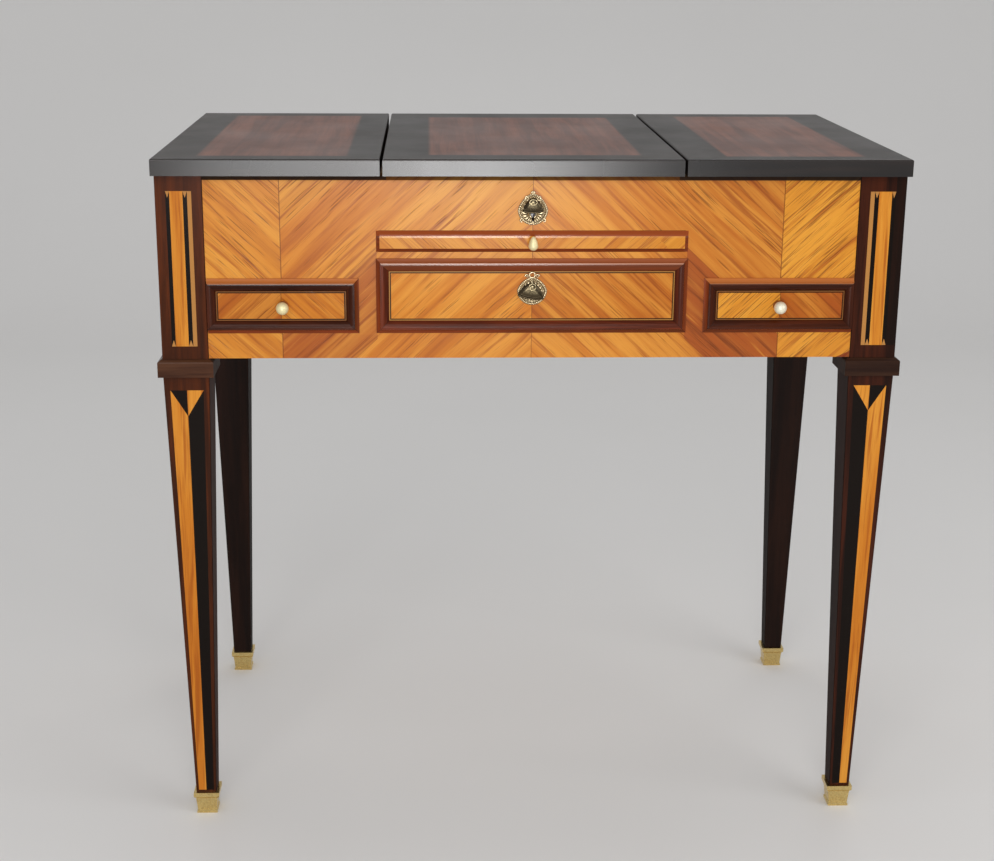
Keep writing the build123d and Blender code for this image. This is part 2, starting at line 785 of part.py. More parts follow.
def lock_bolt(back_y, top):
    """The bolt of a lock, drawn back into its case."""
    with BuildPart() as bolt:
        with BuildSketch(Plane.XY.offset(top - lock_bolt_drop)):
            with Locations((0, back_y + lock_depth / 2)):
                Rectangle(lock_bolt_width - 2 * bolt_gap, lock_bolt_thickness - 2 * bolt_gap)
        extrude(amount=-lock_bolt_height)
    return bolt


lid_lock = lock(facade_back_y, carcass_top, lid_lock_height, lid_keyhole_z)
finish(lid_lock, "lid_lock")
lid_lock_bolt = lock_bolt(facade_back_y, carcass_top)
finish(lid_lock_bolt, "lid_lock_bolt")

with BuildPart() as lid_lock_strike:
    with BuildSketch(Plane.XY.offset(carcass_top)):
        with Locations((0, strike_y)):
            Rectangle(2 * strike_half_width, strike_width)
        with Locations((0, facade_back_y + lock_depth / 2)):
            Rectangle(lock_bolt_width + strike_play, lock_bolt_thickness + strike_play, mode=Mode.SUBTRACT)
    extrude(amount=leaf_thickness)
finish(lid_lock_strike, "lid_lock_strike")


# ------------------------------------------------------------------ drawers
def dovetails(body_x, z_range, start_y, end_y):
    """The tails at one end of a drawer's sides, which widen from start_y to end_y."""
    count = round((z_range[1] - z_range[0]) / tail_pitch)
    pitch = (z_range[1] - z_range[0]) / count
    middle_y = (start_y + end_y) / 2
    turn = 90 if end_y > start_y else -90
    with BuildPart() as tails:
        for x in (body_x[0], body_x[1] - drawer_wall):
            with BuildSketch(Plane.YZ.offset(x)):
                with Locations(*[(middle_y, z_range[0] + (n + 0.5) * pitch) for n in range(count)]):
                    Trapezoid(pitch * tail_share, abs(end_y - start_y), tail_angle, rotation=turn)
            extrude(amount=drawer_wall)
    return tails


def drawer_front(lip_x, lip_z, body_x, body_z, keyhole_z=None, knob=None, post=None):
    """A veneered front in a raised moulding that laps over its opening.

    Beside a post, whose plane may be given, the moulding is cut off flush.
    """
    middle_x = sum(lip_x) / 2
    middle_z = sum(lip_z) / 2
    lip_width = lip_x[1] - lip_x[0]
    lip_height = lip_z[1] - lip_z[0]
    hollow_start = moulding_swell + moulding_crest
    with BuildPart() as front:
        with BuildSketch(at_y(front_back_y)):
            with Locations((sum(body_x) / 2, sum(body_z) / 2)):
                Rectangle(body_x[1] - body_x[0], body_z[1] - body_z[0])
        extrude(amount=front_thickness)
        with BuildSketch(at_y(facade_y)):
            with Locations((middle_x, middle_z)):
                Rectangle(lip_width - 2 * moulding_width, lip_height - 2 * moulding_width)
        extrude(amount=field_height)
        # The moulding is swept round the field and mitred at its corners. Local x of its section
        # runs from the outer edge to the field, local y out to the front.
        with BuildLine(at_y(facade_y)):
            Polyline(
                (middle_x, lip_z[0]),
                (lip_x[1], lip_z[0]),
                (lip_x[1], lip_z[1]),
                (lip_x[0], lip_z[1]),
                (lip_x[0], lip_z[0]),
                close=True,
            )
        with BuildSketch(Plane(origin=(middle_x, facade_y, lip_z[0]), x_dir=(0, 0, 1), z_dir=(1, 0, 0))):
            with BuildLine():
                Polyline((moulding_width, field_height), (moulding_width, 0), (0, 0), (0, moulding_edge))
                SagittaArc((0, moulding_edge), (moulding_swell, moulding_height), -swell_sag)
                Line((moulding_swell, moulding_height), (hollow_start, moulding_height))
                SagittaArc(
                    (hollow_start, moulding_height),
                    (moulding_width, field_height),
                    hollow_sag,
                )
            make_face()
        sweep(transition=Transition.RIGHT)
        if post:
            split(bisect_by=post, keep=Keep.BOTTOM)
        with BuildSketch(at_y(front_back_y)):
            with Locations((sum(body_x) / 2, body_z[0] + drawer_bottom_rise)):
                Rectangle(
                    body_x[1] - body_x[0] - 2 * (drawer_wall - drawer_groove),
                    drawer_bottom_thickness,
                    align=(Align.CENTER, Align.MIN),
                )
        extrude(amount=drawer_groove, mode=Mode.SUBTRACT)
        if keyhole_z:
            with BuildSketch(at_y(front_back_y)):
                with Locations((0, keyhole_z)):
                    Circle(keyhole_radius)
                    Rectangle(keyhole_slot, keyhole_drop, align=(Align.CENTER, Align.MAX))
            extrude(amount=front_thickness + field_height, mode=Mode.SUBTRACT)
        if knob:
            with BuildSketch(at_y(field_y)):
                with Locations(knob):
                    Rectangle(knob_tang, knob_tang)
            extrude(amount=-knob_tang_length, mode=Mode.SUBTRACT)
        add(front_tails(body_x, body_z), mode=Mode.SUBTRACT)
    return front


def front_tails(body_x, body_z):
    """The tails of a drawer's sides that are let into its front."""
    walls_z = (body_z[0], body_z[1] - wall_drop)
    return dovetails(body_x, walls_z, front_back_y, front_back_y - tail_length).part


def drawer_box(name, body_x, body_z):
    """The sides, back and bottom of a drawer, dovetailed together behind its front."""
    groove_bottom = body_z[0] + drawer_bottom_rise
    floor_top = groove_bottom + drawer_bottom_thickness
    wall_top = body_z[1] - wall_drop
    back_y_range = (drawer_back_y - drawer_wall, drawer_back_y)
    middle = sum(body_x) / 2
    width = body_x[1] - body_x[0]
    floor_width = width - 2 * (drawer_wall - drawer_groove)
    floor_front_y = front_back_y - drawer_groove
    rear_tails = dovetails(body_x, (floor_top, wall_top), *back_y_range)
    with BuildPart() as back:
        add(board(body_x, back_y_range, (floor_top, wall_top)).part)
        add(rear_tails.part, mode=Mode.SUBTRACT)
    finish(back, f"{name}_drawer_back")
    side_length = drawer_back_y - front_back_y
    with BuildPart() as sides:
        with BuildSketch(Plane.XY.offset(body_z[0])):
            with Locations((middle, front_back_y + side_length / 2)):
                with GridLocations(width - drawer_wall, 0, 2, 1):
                    Rectangle(drawer_wall, side_length)
        extrude(amount=wall_top - body_z[0])
        add(front_tails(body_x, body_z))
        add(back.part, mode=Mode.SUBTRACT)
        with BuildSketch(Plane.XY.offset(groove_bottom)):
            with Locations((middle, floor_front_y)):
                floor_length = drawer_back_y - floor_front_y
                Rectangle(floor_width, floor_length, align=(Align.CENTER, Align.MIN))
        extrude(amount=drawer_bottom_thickness, mode=Mode.SUBTRACT)
    finish(sides, f"{name}_drawer_sides")
    floor = board(
        (middle - floor_width / 2, middle + floor_width / 2),
        (floor_front_y, drawer_back_y),
        (groove_bottom, floor_top),
    )
    finish(floor, f"{name}_drawer_bottom")


drawer_bottom_z = opening_bottom + slide_gap
centre_body_x = (-partition_in + slide_gap, partition_in - slide_gap)
centre_body_top = centre_opening_top - slide_gap
centre_drawer_front = drawer_front(
    (-centre_lip_half, centre_lip_half),
    (drawer_lip_bottom, centre_lip_top),
    centre_body_x,
    (drawer_bottom_z, centre_body_top),
    keyhole_z=drawer_keyhole_z,
)
finish(centre_drawer_front, "centre_drawer_front")
drawer_box("centre", centre_body_x, (drawer_bottom_z, centre_body_top))

drawer_lock_case = lock(
    front_back_y, centre_body_top, drawer_lock_height, drawer_keyhole_z
)
drawer_lock_bolt = lock_bolt(front_back_y, centre_body_top)
with BuildPart() as drawer_lock:
    add(drawer_lock_case.part)
    add(drawer_lock_bolt.part)
finish(drawer_lock, "drawer_lock")

side_body_top = side_opening_top - slide_gap
for name, side in (("left", -1), ("right", 1)):
    end_x = side * (inner_x - post_gap)
    lip_x = sorted((side * side_lip_inner, end_x + side * post_trim))
    body_x = sorted((side * (partition_out + slide_gap), end_x))
    knob_x = (side * side_lip_inner + end_x) / 2
    knob_place = (knob_x, drawer_lip_bottom + side_lip_height / 2)
    front = drawer_front(
        lip_x,
        (drawer_lip_bottom, side_lip_top),
        body_x,
        (drawer_bottom_z, side_body_top),
        knob=knob_place,
        post=Plane(origin=(end_x, 0, 0), z_dir=(side, 0, 0)),
    )
    finish(front, f"{name}_drawer_front")
    drawer_box(name, body_x, (drawer_bottom_z, side_body_top))
    with BuildPart() as knob:
        with Locations((knob_place[0], field_y, knob_place[1])):
            add(round_knob.part)
    finish(knob, f"{name}_drawer_knob")


# ------------------------------------------------------------------ escutcheons and covers
def escutcheon(face_y, bottom, height, keyhole_z, pivot_z, has_ring):
    """A drop-shaped keyhole plate with the rivet that its swinging cover hangs on."""
    belly = bottom + plate_width / 2
    top = bottom + height
    shoulder = (plate_width * shoulder_share, belly + (top - belly) * shoulder_rise)
    with BuildPart() as plate:
        with BuildSketch(at_y(face_y)):
            with BuildLine():
                ThreePointArc((-plate_width / 2, belly), (0, bottom), (plate_width / 2, belly))
                ThreePointArc((plate_width / 2, belly), shoulder, (0, top))
                ThreePointArc((0, top), (-shoulder[0], shoulder[1]), (-plate_width / 2, belly))
            make_face()
            if has_ring:
                with Locations((0, top + ring_outer - ring_overlap)):
                    Circle(ring_outer)
                    Circle(ring_inner, mode=Mode.SUBTRACT)
            with Locations((0, keyhole_z)):
                Circle(keyhole_radius, mode=Mode.SUBTRACT)
                Rectangle(
                    keyhole_slot,
                    keyhole_drop,
                    align=(Align.CENTER, Align.MAX),
                    mode=Mode.SUBTRACT,
                )
        extrude(amount=plate_thickness)
        with BuildSketch(at_y(face_y - plate_thickness)):
            with Locations((0, pivot_z)):
                Circle(cover_pin_radius)
        extrude(amount=cover_thickness + 2 * cover_gap)
        with BuildSketch(at_y(face_y - plate_thickness - cover_thickness - 2 * cover_gap)):
            with Locations((0, pivot_z)):
                Circle(rivet_head_radius)
        extrude(amount=rivet_head_height)
    return plate


def keyhole_cover(face_y, bottom, width, height, pivot_z):
    """A bell-shaped cover that hangs from a rivet in front of its keyhole plate."""
    back_y = face_y - plate_thickness - cover_gap
    hip = (width * cover_hip_share, bottom + height * cover_hip_rise)
    corner = bottom + cover_lip_sag
    lip_end = width / 2 - cover_lip_height / 2
    lip_end_z = corner + cover_lip_height
    with BuildPart() as cover:
        with BuildSketch(at_y(back_y)):
            with BuildLine():
                ThreePointArc((-width / 2, corner), (0, bottom), (width / 2, corner))
                ThreePointArc((width / 2, corner), hip, (0, bottom + height))
                ThreePointArc((0, bottom + height), (-hip[0], hip[1]), (-width / 2, corner))
            make_face()
            with Locations((0, pivot_z)):
                Circle(cover_pin_radius + running_gap, mode=Mode.SUBTRACT)
        extrude(amount=cover_thickness)
        with BuildSketch(at_y(back_y)):
            with BuildLine():
                ThreePointArc((-width / 2, corner), (0, bottom), (width / 2, corner))
                Line((width / 2, corner), (lip_end, lip_end_z))
                ThreePointArc(
                    (lip_end, lip_end_z), (0, bottom + cover_lip_height), (-lip_end, lip_end_z)
                )
                Line((-lip_end, lip_end_z), (-width / 2, corner))
            make_face()
        extrude(amount=cover_lip_thickness)
    return cover


lid_pivot_z = lid_cover_bottom + lid_cover_height - cover_pin_drop
lid_escutcheon = escutcheon(
    facade_y, lid_plate_bottom, lid_plate_height, lid_keyhole_z, lid_pivot_z, False
)
finish(lid_escutcheon, "lid_escutcheon")
lid_cover = keyhole_cover(
    facade_y, lid_cover_bottom, lid_cover_width, lid_cover_height, lid_pivot_z
)
finish(lid_cover, "lid_keyhole_cover")

drawer_pivot_z = drawer_cover_bottom + drawer_cover_height - cover_pin_drop
drawer_escutcheon = escutcheon(
    field_y, drawer_plate_bottom, drawer_plate_height, drawer_keyhole_z, drawer_pivot_z, True
)
finish(drawer_escutcheon, "drawer_escutcheon")
drawer_cover = keyhole_cover(
    field_y, drawer_cover_bottom, drawer_cover_width, drawer_cover_height, drawer_pivot_z
)
finish(drawer_cover, "drawer_keyhole_cover")
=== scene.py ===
"""Looks of the poudreuse: marquetry, polished wood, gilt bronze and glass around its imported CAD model.

Metres, in the frame of the CAD: +X to the right, -Y to the front, +Z up, origin on the floor.
"""

import cmath
import json
import math

import bmesh
import bpy
from mathutils import Matrix, Vector


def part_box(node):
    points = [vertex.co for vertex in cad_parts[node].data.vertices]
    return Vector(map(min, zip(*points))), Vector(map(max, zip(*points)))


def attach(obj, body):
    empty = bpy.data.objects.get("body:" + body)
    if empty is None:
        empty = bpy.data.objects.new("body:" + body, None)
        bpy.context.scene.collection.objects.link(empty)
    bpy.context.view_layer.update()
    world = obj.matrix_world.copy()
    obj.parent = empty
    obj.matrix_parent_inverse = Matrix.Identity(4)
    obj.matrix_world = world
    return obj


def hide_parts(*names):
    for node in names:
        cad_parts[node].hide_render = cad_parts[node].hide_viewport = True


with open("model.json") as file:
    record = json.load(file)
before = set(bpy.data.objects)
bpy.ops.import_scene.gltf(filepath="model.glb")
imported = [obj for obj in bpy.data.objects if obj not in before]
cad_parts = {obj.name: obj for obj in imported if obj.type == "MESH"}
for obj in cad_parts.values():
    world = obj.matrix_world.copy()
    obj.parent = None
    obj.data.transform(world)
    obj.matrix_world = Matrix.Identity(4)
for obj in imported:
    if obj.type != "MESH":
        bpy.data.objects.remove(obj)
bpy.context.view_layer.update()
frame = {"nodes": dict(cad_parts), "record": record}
nodes = frame["nodes"]
MM = 0.001

# ---- the photograph's camera
IMAGE_WIDTH, IMAGE_HEIGHT = 994, 861
CAMERA_PLACE = (-0.1106, -2.0334, 0.9941)
CAMERA_YAW, CAMERA_PITCH, CAMERA_ROLL = 0.03533, -0.28371, -0.00595
FOCAL_PIXELS = 1717.0
PRINCIPAL_POINT = (487.7, 433.9)
SENSOR_WIDTH = 36.0

# ---- places on the table, in metres
FACADE_Y = -0.223
SLIDE_FACE_Y = -0.226
FIELD_Y = -0.2245  # face of a drawer's veneered field
FRONT_TOP, CASE_BOTTOM = 0.750, 0.552
RAIL_TOP = 0.578  # of the rail under the drawers
LID_SHADOW_HEIGHT = 0.0058  # height of the painted shadow line that the lids' overhang casts on the front
LINE_SOFTNESS = 0.0005
MIDDLE_LID_X = 0.155  # half width of the middle lid, where that painted shadow is fainter
SEAM_X = 0.268  # the V joints in the front's veneer
JOINT_HALF, MIDDLE_JOINT_HALF, FINE_JOINT_HALF = 0.0005, 0.0004, 0.0003  # between leaves of veneer
GRAIN_ANGLE = math.radians(43)
LEAF_EDGES = (0.350, 0.4225, 0.506)  # between leaves of veneer, across their grain
RED_LEAF_REACH = 0.102  # length of the redder leaf, from its seam
SHEEN_PAINT_Z = 0.64  # above this the front's middle left is painted paler, a painted sheen
PATCH_X, PATCH_SLOPE = 0.333, 0.45  # an old red repair at the lower right corner
FRAME_WIDTH, LIP_WIDTH = 0.0135, 0.0044  # a drawer's moulding and its reddish lip
CREST_SPAN = (LIP_WIDTH - 0.0014, LIP_WIDTH + 0.0022)
# span of the painted highlight on a top rail's crest, measured in from the frame's outer edge
PAINTED_GLINT_SPAN = (LIP_WIDTH, LIP_WIDTH + 0.0012)
STRINGING_SPAN = (FRAME_WIDTH, FRAME_WIDTH + 0.0024)
LIGHT_STRING_SPAN = (FRAME_WIDTH + 0.0003, FRAME_WIDTH + 0.0012)
SIDE_FRAME_X, SIDE_FRAME_HALF = 0.2686, 0.0831
SLIDE_BEVEL = 0.0037  # dark strip round the front of the writing slide
SLIDE_TOP_BAND = 0.0054  # the wider one along its top
SLIDE_GLINT_SPAN, ROUNDED_ARRIS_SPAN = (-0.0004, 0.0018), (0.0, 0.0016)  # down from that band
SLIDE_END_X = 0.127
KNOB_SHADE_SPAN = (-0.2305, -0.2285)  # where painted shade browns a knob towards its foot, in y
WORN_EDGE_SPAN = (-0.0015, 0.004)  # over which the top's fields fade out
GOLD_LINES = ((0.0085, 0.0095), (0.0115, 0.0120))  # on the leather, from its edge
BUMP_STRENGTH, GRIME, PATINA_SCALE = 0.4, 0.4, 420
LEG_X = 0.373
FRONT_LEG_Y, REAR_LEG_Y = -0.199, 0.209
LEG_TOP, LEG_FOOT = 0.532, 0.027
LEG_TOP_HALF, LEG_FOOT_HALF = 0.025, 0.01175
LEG_TAPER = (LEG_TOP_HALF - LEG_FOOT_HALF) / (LEG_TOP - LEG_FOOT)


def srgb(red, green, blue):
    """A colour given as it looks on a screen, 0 to 255, as linear values for a shader."""

    def linear(value):
        value /= 255
        return value / 12.92 if value <= 0.04045 else ((value + 0.055) / 1.055) ** 2.4

    return (linear(red), linear(green), linear(blue), 1.0)


SATINWOOD = srgb(202, 121, 36)
SATINWOOD_PALE = srgb(220, 148, 56)
SATINWOOD_DEEP = srgb(170, 90, 28)
SATINWOOD_YELLOW = srgb(225, 157, 52)
SATINWOOD_RED = srgb(156, 74, 29)
PORE_BROWN = srgb(98, 46, 15)
PATCH_RED = srgb(112, 26, 18)
PURPLEWOOD = srgb(112, 45, 18)
PURPLEWOOD_DARK = srgb(62, 23, 10)
MAHOGANY = srgb(92, 42, 15)
MAHOGANY_DARK = srgb(52, 25, 12)
MAHOGANY_AGED = srgb(70, 31, 16)
MAHOGANY_BLACKENED = srgb(34, 16, 10)
COLLAR_BROWN = srgb(84, 52, 33)
LIP_RED = srgb(134, 58, 26)
LIP_ORANGE = srgb(188, 110, 52)
LIP_BROWN = srgb(152, 82, 46)
CREST_HIGHLIGHT = srgb(214, 156, 126)
SLIDE_TOP_LIT_RED = srgb(146, 68, 28)
NIGHTWOOD = srgb(40, 14, 5)
NIGHTWOOD_LIGHT = srgb(76, 31, 10)
REAR_WOOD = srgb(40, 22, 15)
REAR_WOOD_DARK = srgb(22, 13, 10)
EBONY = srgb(20, 13, 9)
STRING_LIGHT = srgb(176, 126, 60)
STRING_DIM = srgb(132, 84, 42)
INLAY_CREAM = srgb(178, 124, 66)
STRING_DARK = srgb(48, 26, 12)
TOP_BROWN = srgb(134, 82, 62)
TOP_BROWN_DARK = srgb(90, 52, 40)
TOP_BLACK = srgb(18, 13, 11)
TOP_BLACK_WORN = srgb(38, 28, 23)
OAK = srgb(172, 126, 74)
OAK_DARK = srgb(122, 82, 44)
BACK_BROWN = srgb(116, 76, 43)
BACK_BROWN_DARK = srgb(78, 49, 28)
BRASS = srgb(226, 200, 134)
BRASS_DARK = srgb(156, 118, 60)
PALE_BRASS = srgb(240, 228, 178)
PALE_BRASS_DARK = srgb(206, 190, 134)
RIGHT_KNOB_HIGHLIGHT = srgb(240, 236, 222)
FOOT_SHADE_BROWN = srgb(150, 92, 38)
GILT = srgb(232, 212, 172)
GILT_DARK = srgb(104, 84, 56)
BRONZE = srgb(186, 170, 134)
BRONZE_DARK = srgb(74, 64, 48)
STEEL = srgb(150, 150, 152)
STEEL_DARK = srgb(86, 84, 84)
LEATHER = srgb(94, 33, 22)
LEATHER_DARK = srgb(68, 24, 17)
GOLD_LEAF = srgb(205, 160, 78)
SILVERING = srgb(226, 230, 228)
SILVERING_STAIN = srgb(96, 84, 70)
FLOOR_PALE = srgb(233, 232, 230)
FLOOR_GREY = srgb(226, 225, 222)


# ---- shader building blocks
class Value:
    """A number or colour inside a material, which can be used in plain arithmetic."""

    def __init__(self, shade, socket):
        self.shade = shade
        self.socket = socket

    def __add__(self, other):
        return self.shade.math("ADD", self, other)

    def __sub__(self, other):
        return self.shade.math("SUBTRACT", self, other)

    def __rsub__(self, other):
        return self.shade.math("SUBTRACT", other, self)

    def __mul__(self, other):
        return self.shade.math("MULTIPLY", self, other)

    def __truediv__(self, other):
        return self.shade.math("DIVIDE", self, other)

    def __abs__(self):
        return self.shade.math("ABSOLUTE", self)

    def above(self, edge):
        """1 where this is more than edge, otherwise 0."""
        return self.shade.math("GREATER_THAN", self, edge)

    def below(self, edge):
        """1 where this is less than edge, otherwise 0."""
        return self.shade.math("LESS_THAN", self, edge)

    def between(self, low, high):
        """1 between low and high, otherwise 0."""
        return self.above(low) * self.below(high)

    def smallest(self, other):
        return self.shade.math("MINIMUM", self, other)

    def largest(self, other):
        return self.shade.math("MAXIMUM", self, other)

    def ramp(self, low, high):
        """0 at low rising smoothly to 1 at high, and flat beyond them."""
        node = self.shade.tree.nodes.new("ShaderNodeMapRange")
        node.interpolation_type = "SMOOTHSTEP"
        self.shade.feed(node.inputs["Value"], self)
        node.inputs["From Min"].default_value = low
        node.inputs["From Max"].default_value = high
        return Value(self.shade, node.outputs["Result"])


class Shade:
    """One material with a Principled shader, and the nodes that drive it."""

    def __init__(self, name, roughness=0.4, metallic=0.0, coat_roughness=0.1, specular=0.5):
        self.material = bpy.data.materials.new(name)
        self.material.use_nodes = True
        self.tree = self.material.node_tree
        self.shader = self.tree.nodes["Principled BSDF"]
        self.shader.inputs["Roughness"].default_value = roughness
        self.shader.inputs["Metallic"].default_value = metallic
        self.shader.inputs["Coat Roughness"].default_value = coat_roughness
        self.shader.inputs["Specular IOR Level"].default_value = specular
        coordinates = self.tree.nodes.new("ShaderNodeTexCoord")
        self.place = Value(self, coordinates.outputs["Object"])
        self.x, self.y, self.z = self.split(coordinates.outputs["Object"])
        self.nx, self.ny, self.nz = self.split(coordinates.outputs["Normal"])

    def feed(self, socket, value):
        """Put a Value, a number or a colour into an input."""
        if isinstance(value, Value):
            self.tree.links.new(value.socket, socket)
        else:
            socket.default_value = value

    def split(self, socket):
        node = self.tree.nodes.new("ShaderNodeSeparateXYZ")
        self.tree.links.new(socket, node.inputs[0])
        return [Value(self, output) for output in node.outputs]

    def math(self, operation, *values):
        node = self.tree.nodes.new("ShaderNodeMath")
        node.operation = operation
        for socket, value in zip(node.inputs, values):
            self.feed(socket, value)
        return Value(self, node.outputs[0])

    def vector(self, x, y, z):
        node = self.tree.nodes.new("ShaderNodeCombineXYZ")
        for socket, value in zip(node.inputs, (x, y, z)):
            self.feed(socket, value)
        return Value(self, node.outputs[0])

    def noise(self, vector, scale=1.0, detail=2.0, roughness=0.5, distortion=0.0):
        node = self.tree.nodes.new("ShaderNodeTexNoise")
        names = ("Vector", "Scale", "Detail", "Roughness", "Distortion")
        for name, value in zip(names, (vector, scale, detail, roughness, distortion)):
            self.feed(node.inputs[name], value)
        return Value(self, node.outputs["Fac"])

    def mix(self, factor, first, second):
        """first where factor is 0, second where it is 1."""
        node = self.tree.nodes.new("ShaderNodeMix")
        node.data_type = "RGBA"
        self.feed(node.inputs[0], factor)
        self.feed(node.inputs[6], first)
        self.feed(node.inputs[7], second)
        return Value(self, node.outputs[2])

    def finish(self, colour, roughness=None, coat=None, height=None, bump=0.0002):
        """Connect colour, roughness, coat and a bump height to the shader. Returns the material."""
        self.feed(self.shader.inputs["Base Color"], colour)
        if roughness is not None:
            self.feed(self.shader.inputs["Roughness"], roughness)
        if coat is not None:
            self.feed(self.shader.inputs["Coat Weight"], coat)
        if height is not None:
            node = self.tree.nodes.new("ShaderNodeBump")
            node.inputs["Strength"].default_value = BUMP_STRENGTH
            node.inputs["Distance"].default_value = bump
            self.feed(node.inputs["Height"], height)
            self.tree.links.new(node.outputs["Normal"], self.shader.inputs["Normal"])
        return self.material


# ---- woods
# Repeats of a figure in a metre, along and across its grain.
DRIFT_SCALE = (5, 10)
BAND_SCALE = (3, 62)
STREAK_SCALE = (8, 190)
FIBRE_SCALE = (30, 900)
PORE_SCALE = (24, 760)
CLUSTER_SCALE = (9, 46)
PLAIN_FIGURE_SCALE = (4, 70)
PLAIN_FIBRE_SCALE = (30, 700)
DRIFT = 0.010  # how far the grain wanders, in metres
PORE_SEED, CLUSTER_SEED = 4.0, 9.0


def veneer(shade, along, across, seed, reddish, yellowish, streaky):
    """Satinwood with soft bands, streaks, fine fibres and short dark pores along its grain.

    Returns its colour and height. along and across are in metres. reddish and yellowish go from 0
    to 1, streaky from -1 (hardly a pore) to 1; all may vary over the surface.
    """

    def figure(scale, offset, place, **options):
        return shade.noise(shade.vector(along * scale[0], offset * scale[1], place), **options)

    bent = across + figure(DRIFT_SCALE, across, seed, detail=1) * DRIFT
    band = figure(BAND_SCALE, bent, seed)
    streak = figure(STREAK_SCALE, bent, seed, detail=3, roughness=0.62)
    fibre = figure(FIBRE_SCALE, bent, seed, roughness=0.6)
    pores = figure(PORE_SCALE, bent, seed + PORE_SEED, detail=1)
    cluster = figure(CLUSTER_SCALE, bent, seed + CLUSTER_SEED)
    colour = shade.mix(band.ramp(0.4, 0.62), SATINWOOD, SATINWOOD_PALE)
    colour = shade.mix(band.ramp(0.46, 0.3) * 0.45, colour, SATINWOOD_DEEP)
    colour = shade.mix(yellowish, colour, SATINWOOD_YELLOW)
    colour = shade.mix(streak.ramp(0.5, 0.68) * 0.8, colour, SATINWOOD_DEEP)
    redness = (1.2 - band.ramp(0.36, 0.64) * 0.5) * reddish
    colour = shade.mix(redness.smallest(0.85), colour, SATINWOOD_RED)
    colour = shade.mix(streak.ramp(0.5, 0.68) * redness * 0.6, colour, PORE_BROWN)
    colour = shade.mix(streak.ramp(0.42, 0.28) * 0.5, colour, SATINWOOD_PALE)
    colour = shade.mix(fibre.ramp(0.5, 0.75) * 0.35, colour, SATINWOOD_DEEP)
    dashes = (pores + cluster * 0.5 + streaky * 0.14).ramp(0.95, 1.06)
    colour = shade.mix(dashes * 0.6, colour, PORE_BROWN)
    height = fibre * 0.5 - dashes
    return colour, height


def plain_wood(shade, along, across, depth, light, dark, pitch=1.0):
    """Straight-grained wood between two tones. Returns its colour and height."""

    def place(scale):
        lengthwise, crosswise = scale[0] / pitch, scale[1] / pitch
        return shade.vector(along * lengthwise, across * crosswise, depth * crosswise)

    figure = shade.noise(place(PLAIN_FIGURE_SCALE), detail=4, roughness=0.62, distortion=0.4)
    fibre = shade.noise(place(PLAIN_FIBRE_SCALE))
    colour = shade.mix(figure.ramp(0.3, 0.7), dark, light)
    colour = shade.mix(fibre.ramp(0.5, 0.75) * 0.5, colour, dark)
    return colour, fibre


def oak_behind(shade):
    """Bare oak, for hidden faces."""
    return plain_wood(shade, shade.x, shade.z, shade.y, OAK, OAK_DARK)[0]


def herringbone(distance, height, rising):
    """Grain coordinates of veneer laid slantwise: it climbs (1) or falls (-1) away from a seam."""
    sine, cosine = math.sin(GRAIN_ANGLE), math.cos(GRAIN_ANGLE)
    across = height * cosine - distance * (sine * rising)
    along = distance * cosine + height * (sine * rising)
    return along, across


def front_veneer(shade):
    """Veneer of the front: two V joints at the seams and an inverted V in the middle.

    Each side of a seam holds several leaves, whose edges run along the grain.
    """
    side = shade.math("SIGN", shade.x)
    right = shade.x.above(0.0)
    outer = abs(shade.x).above(SEAM_X)
    inner = 1.0 - outer
    distance = abs(abs(shade.x) - SEAM_X)
    along, across = herringbone(distance, shade.z, 1)
    leaf = across.above(LEAF_EDGES[0]) + across.above(LEAF_EDGES[1]) + across.above(LEAF_EDGES[2])
    seed = side * 3.0 + outer * 5.0 + side * outer * 2.0 + leaf * 1.7
    red_leaf = across.between(*LEAF_EDGES[:2]) * inner * distance.below(RED_LEAF_REACH)
    top_leaf = across.above(LEAF_EDGES[2]) * inner
    beside_seam = right * inner * distance.ramp(0.2, 0.03)
    reddish = red_leaf * (right * 0.25 + 0.5) + top_leaf * 0.14 + beside_seam * 0.36
    reddish = reddish + shade.z.below(RAIL_TOP) * 0.1
    # Painted sheen: the upper middle left of the front and the top leaf left of the middle are painted
    # yellower where light glares on the polish.
    painted_sheen = inner * (1.0 - right) * distance.ramp(0.09, 0.2) * shade.z.above(SHEEN_PAINT_Z)
    yellowish = outer * (right * 0.35 + 0.2) + (top_leaf * (1.0 - right)).largest(painted_sheen) * 0.45
    streaky = outer * (right * 0.5 + 0.3) + top_leaf * 0.5 + 0.2
    colour, height = veneer(shade, along, across, seed, reddish, yellowish, streaky)
    joint = distance.below(JOINT_HALF).largest(abs(shade.x).below(FINE_JOINT_HALF))
    for edge in LEAF_EDGES:
        edge_joint = abs(across - edge).below(FINE_JOINT_HALF) * inner * distance.below(RED_LEAF_REACH)
        joint = joint.largest(edge_joint * 0.6)
    colour = shade.mix(joint * 0.7, colour, PORE_BROWN)
    patch = (shade.x - PATCH_X) * PATCH_SLOPE + (CASE_BOTTOM - shade.z)
    colour = shade.mix(patch.above(0.0) * 0.8, colour, PATCH_RED)
    return colour, height


def facade_material():
    """The veneered front, with a painted shadow under the lids; its hidden faces are plain oak."""
    shade = Shade("satinwood_front", specular=0.2)
    colour, height = front_veneer(shade)
    # Painted shadow: a near-black line along the top of the front, under the lids' overhang.
    line_foot = FRONT_TOP - LID_SHADOW_HEIGHT
    painted_lid_shadow = shade.z.ramp(line_foot - LINE_SOFTNESS, line_foot + LINE_SOFTNESS)
    in_middle = abs(shade.x).below(MIDDLE_LID_X)
    colour = shade.mix(painted_lid_shadow * (0.97 - in_middle * 0.17), colour, EBONY)
    colour = shade.mix(shade.ny.below(-0.5), oak_behind(shade), colour)
    return shade.finish(colour, roughness=painted_lid_shadow * 0.6 + 0.24, height=height, bump=0.0001)


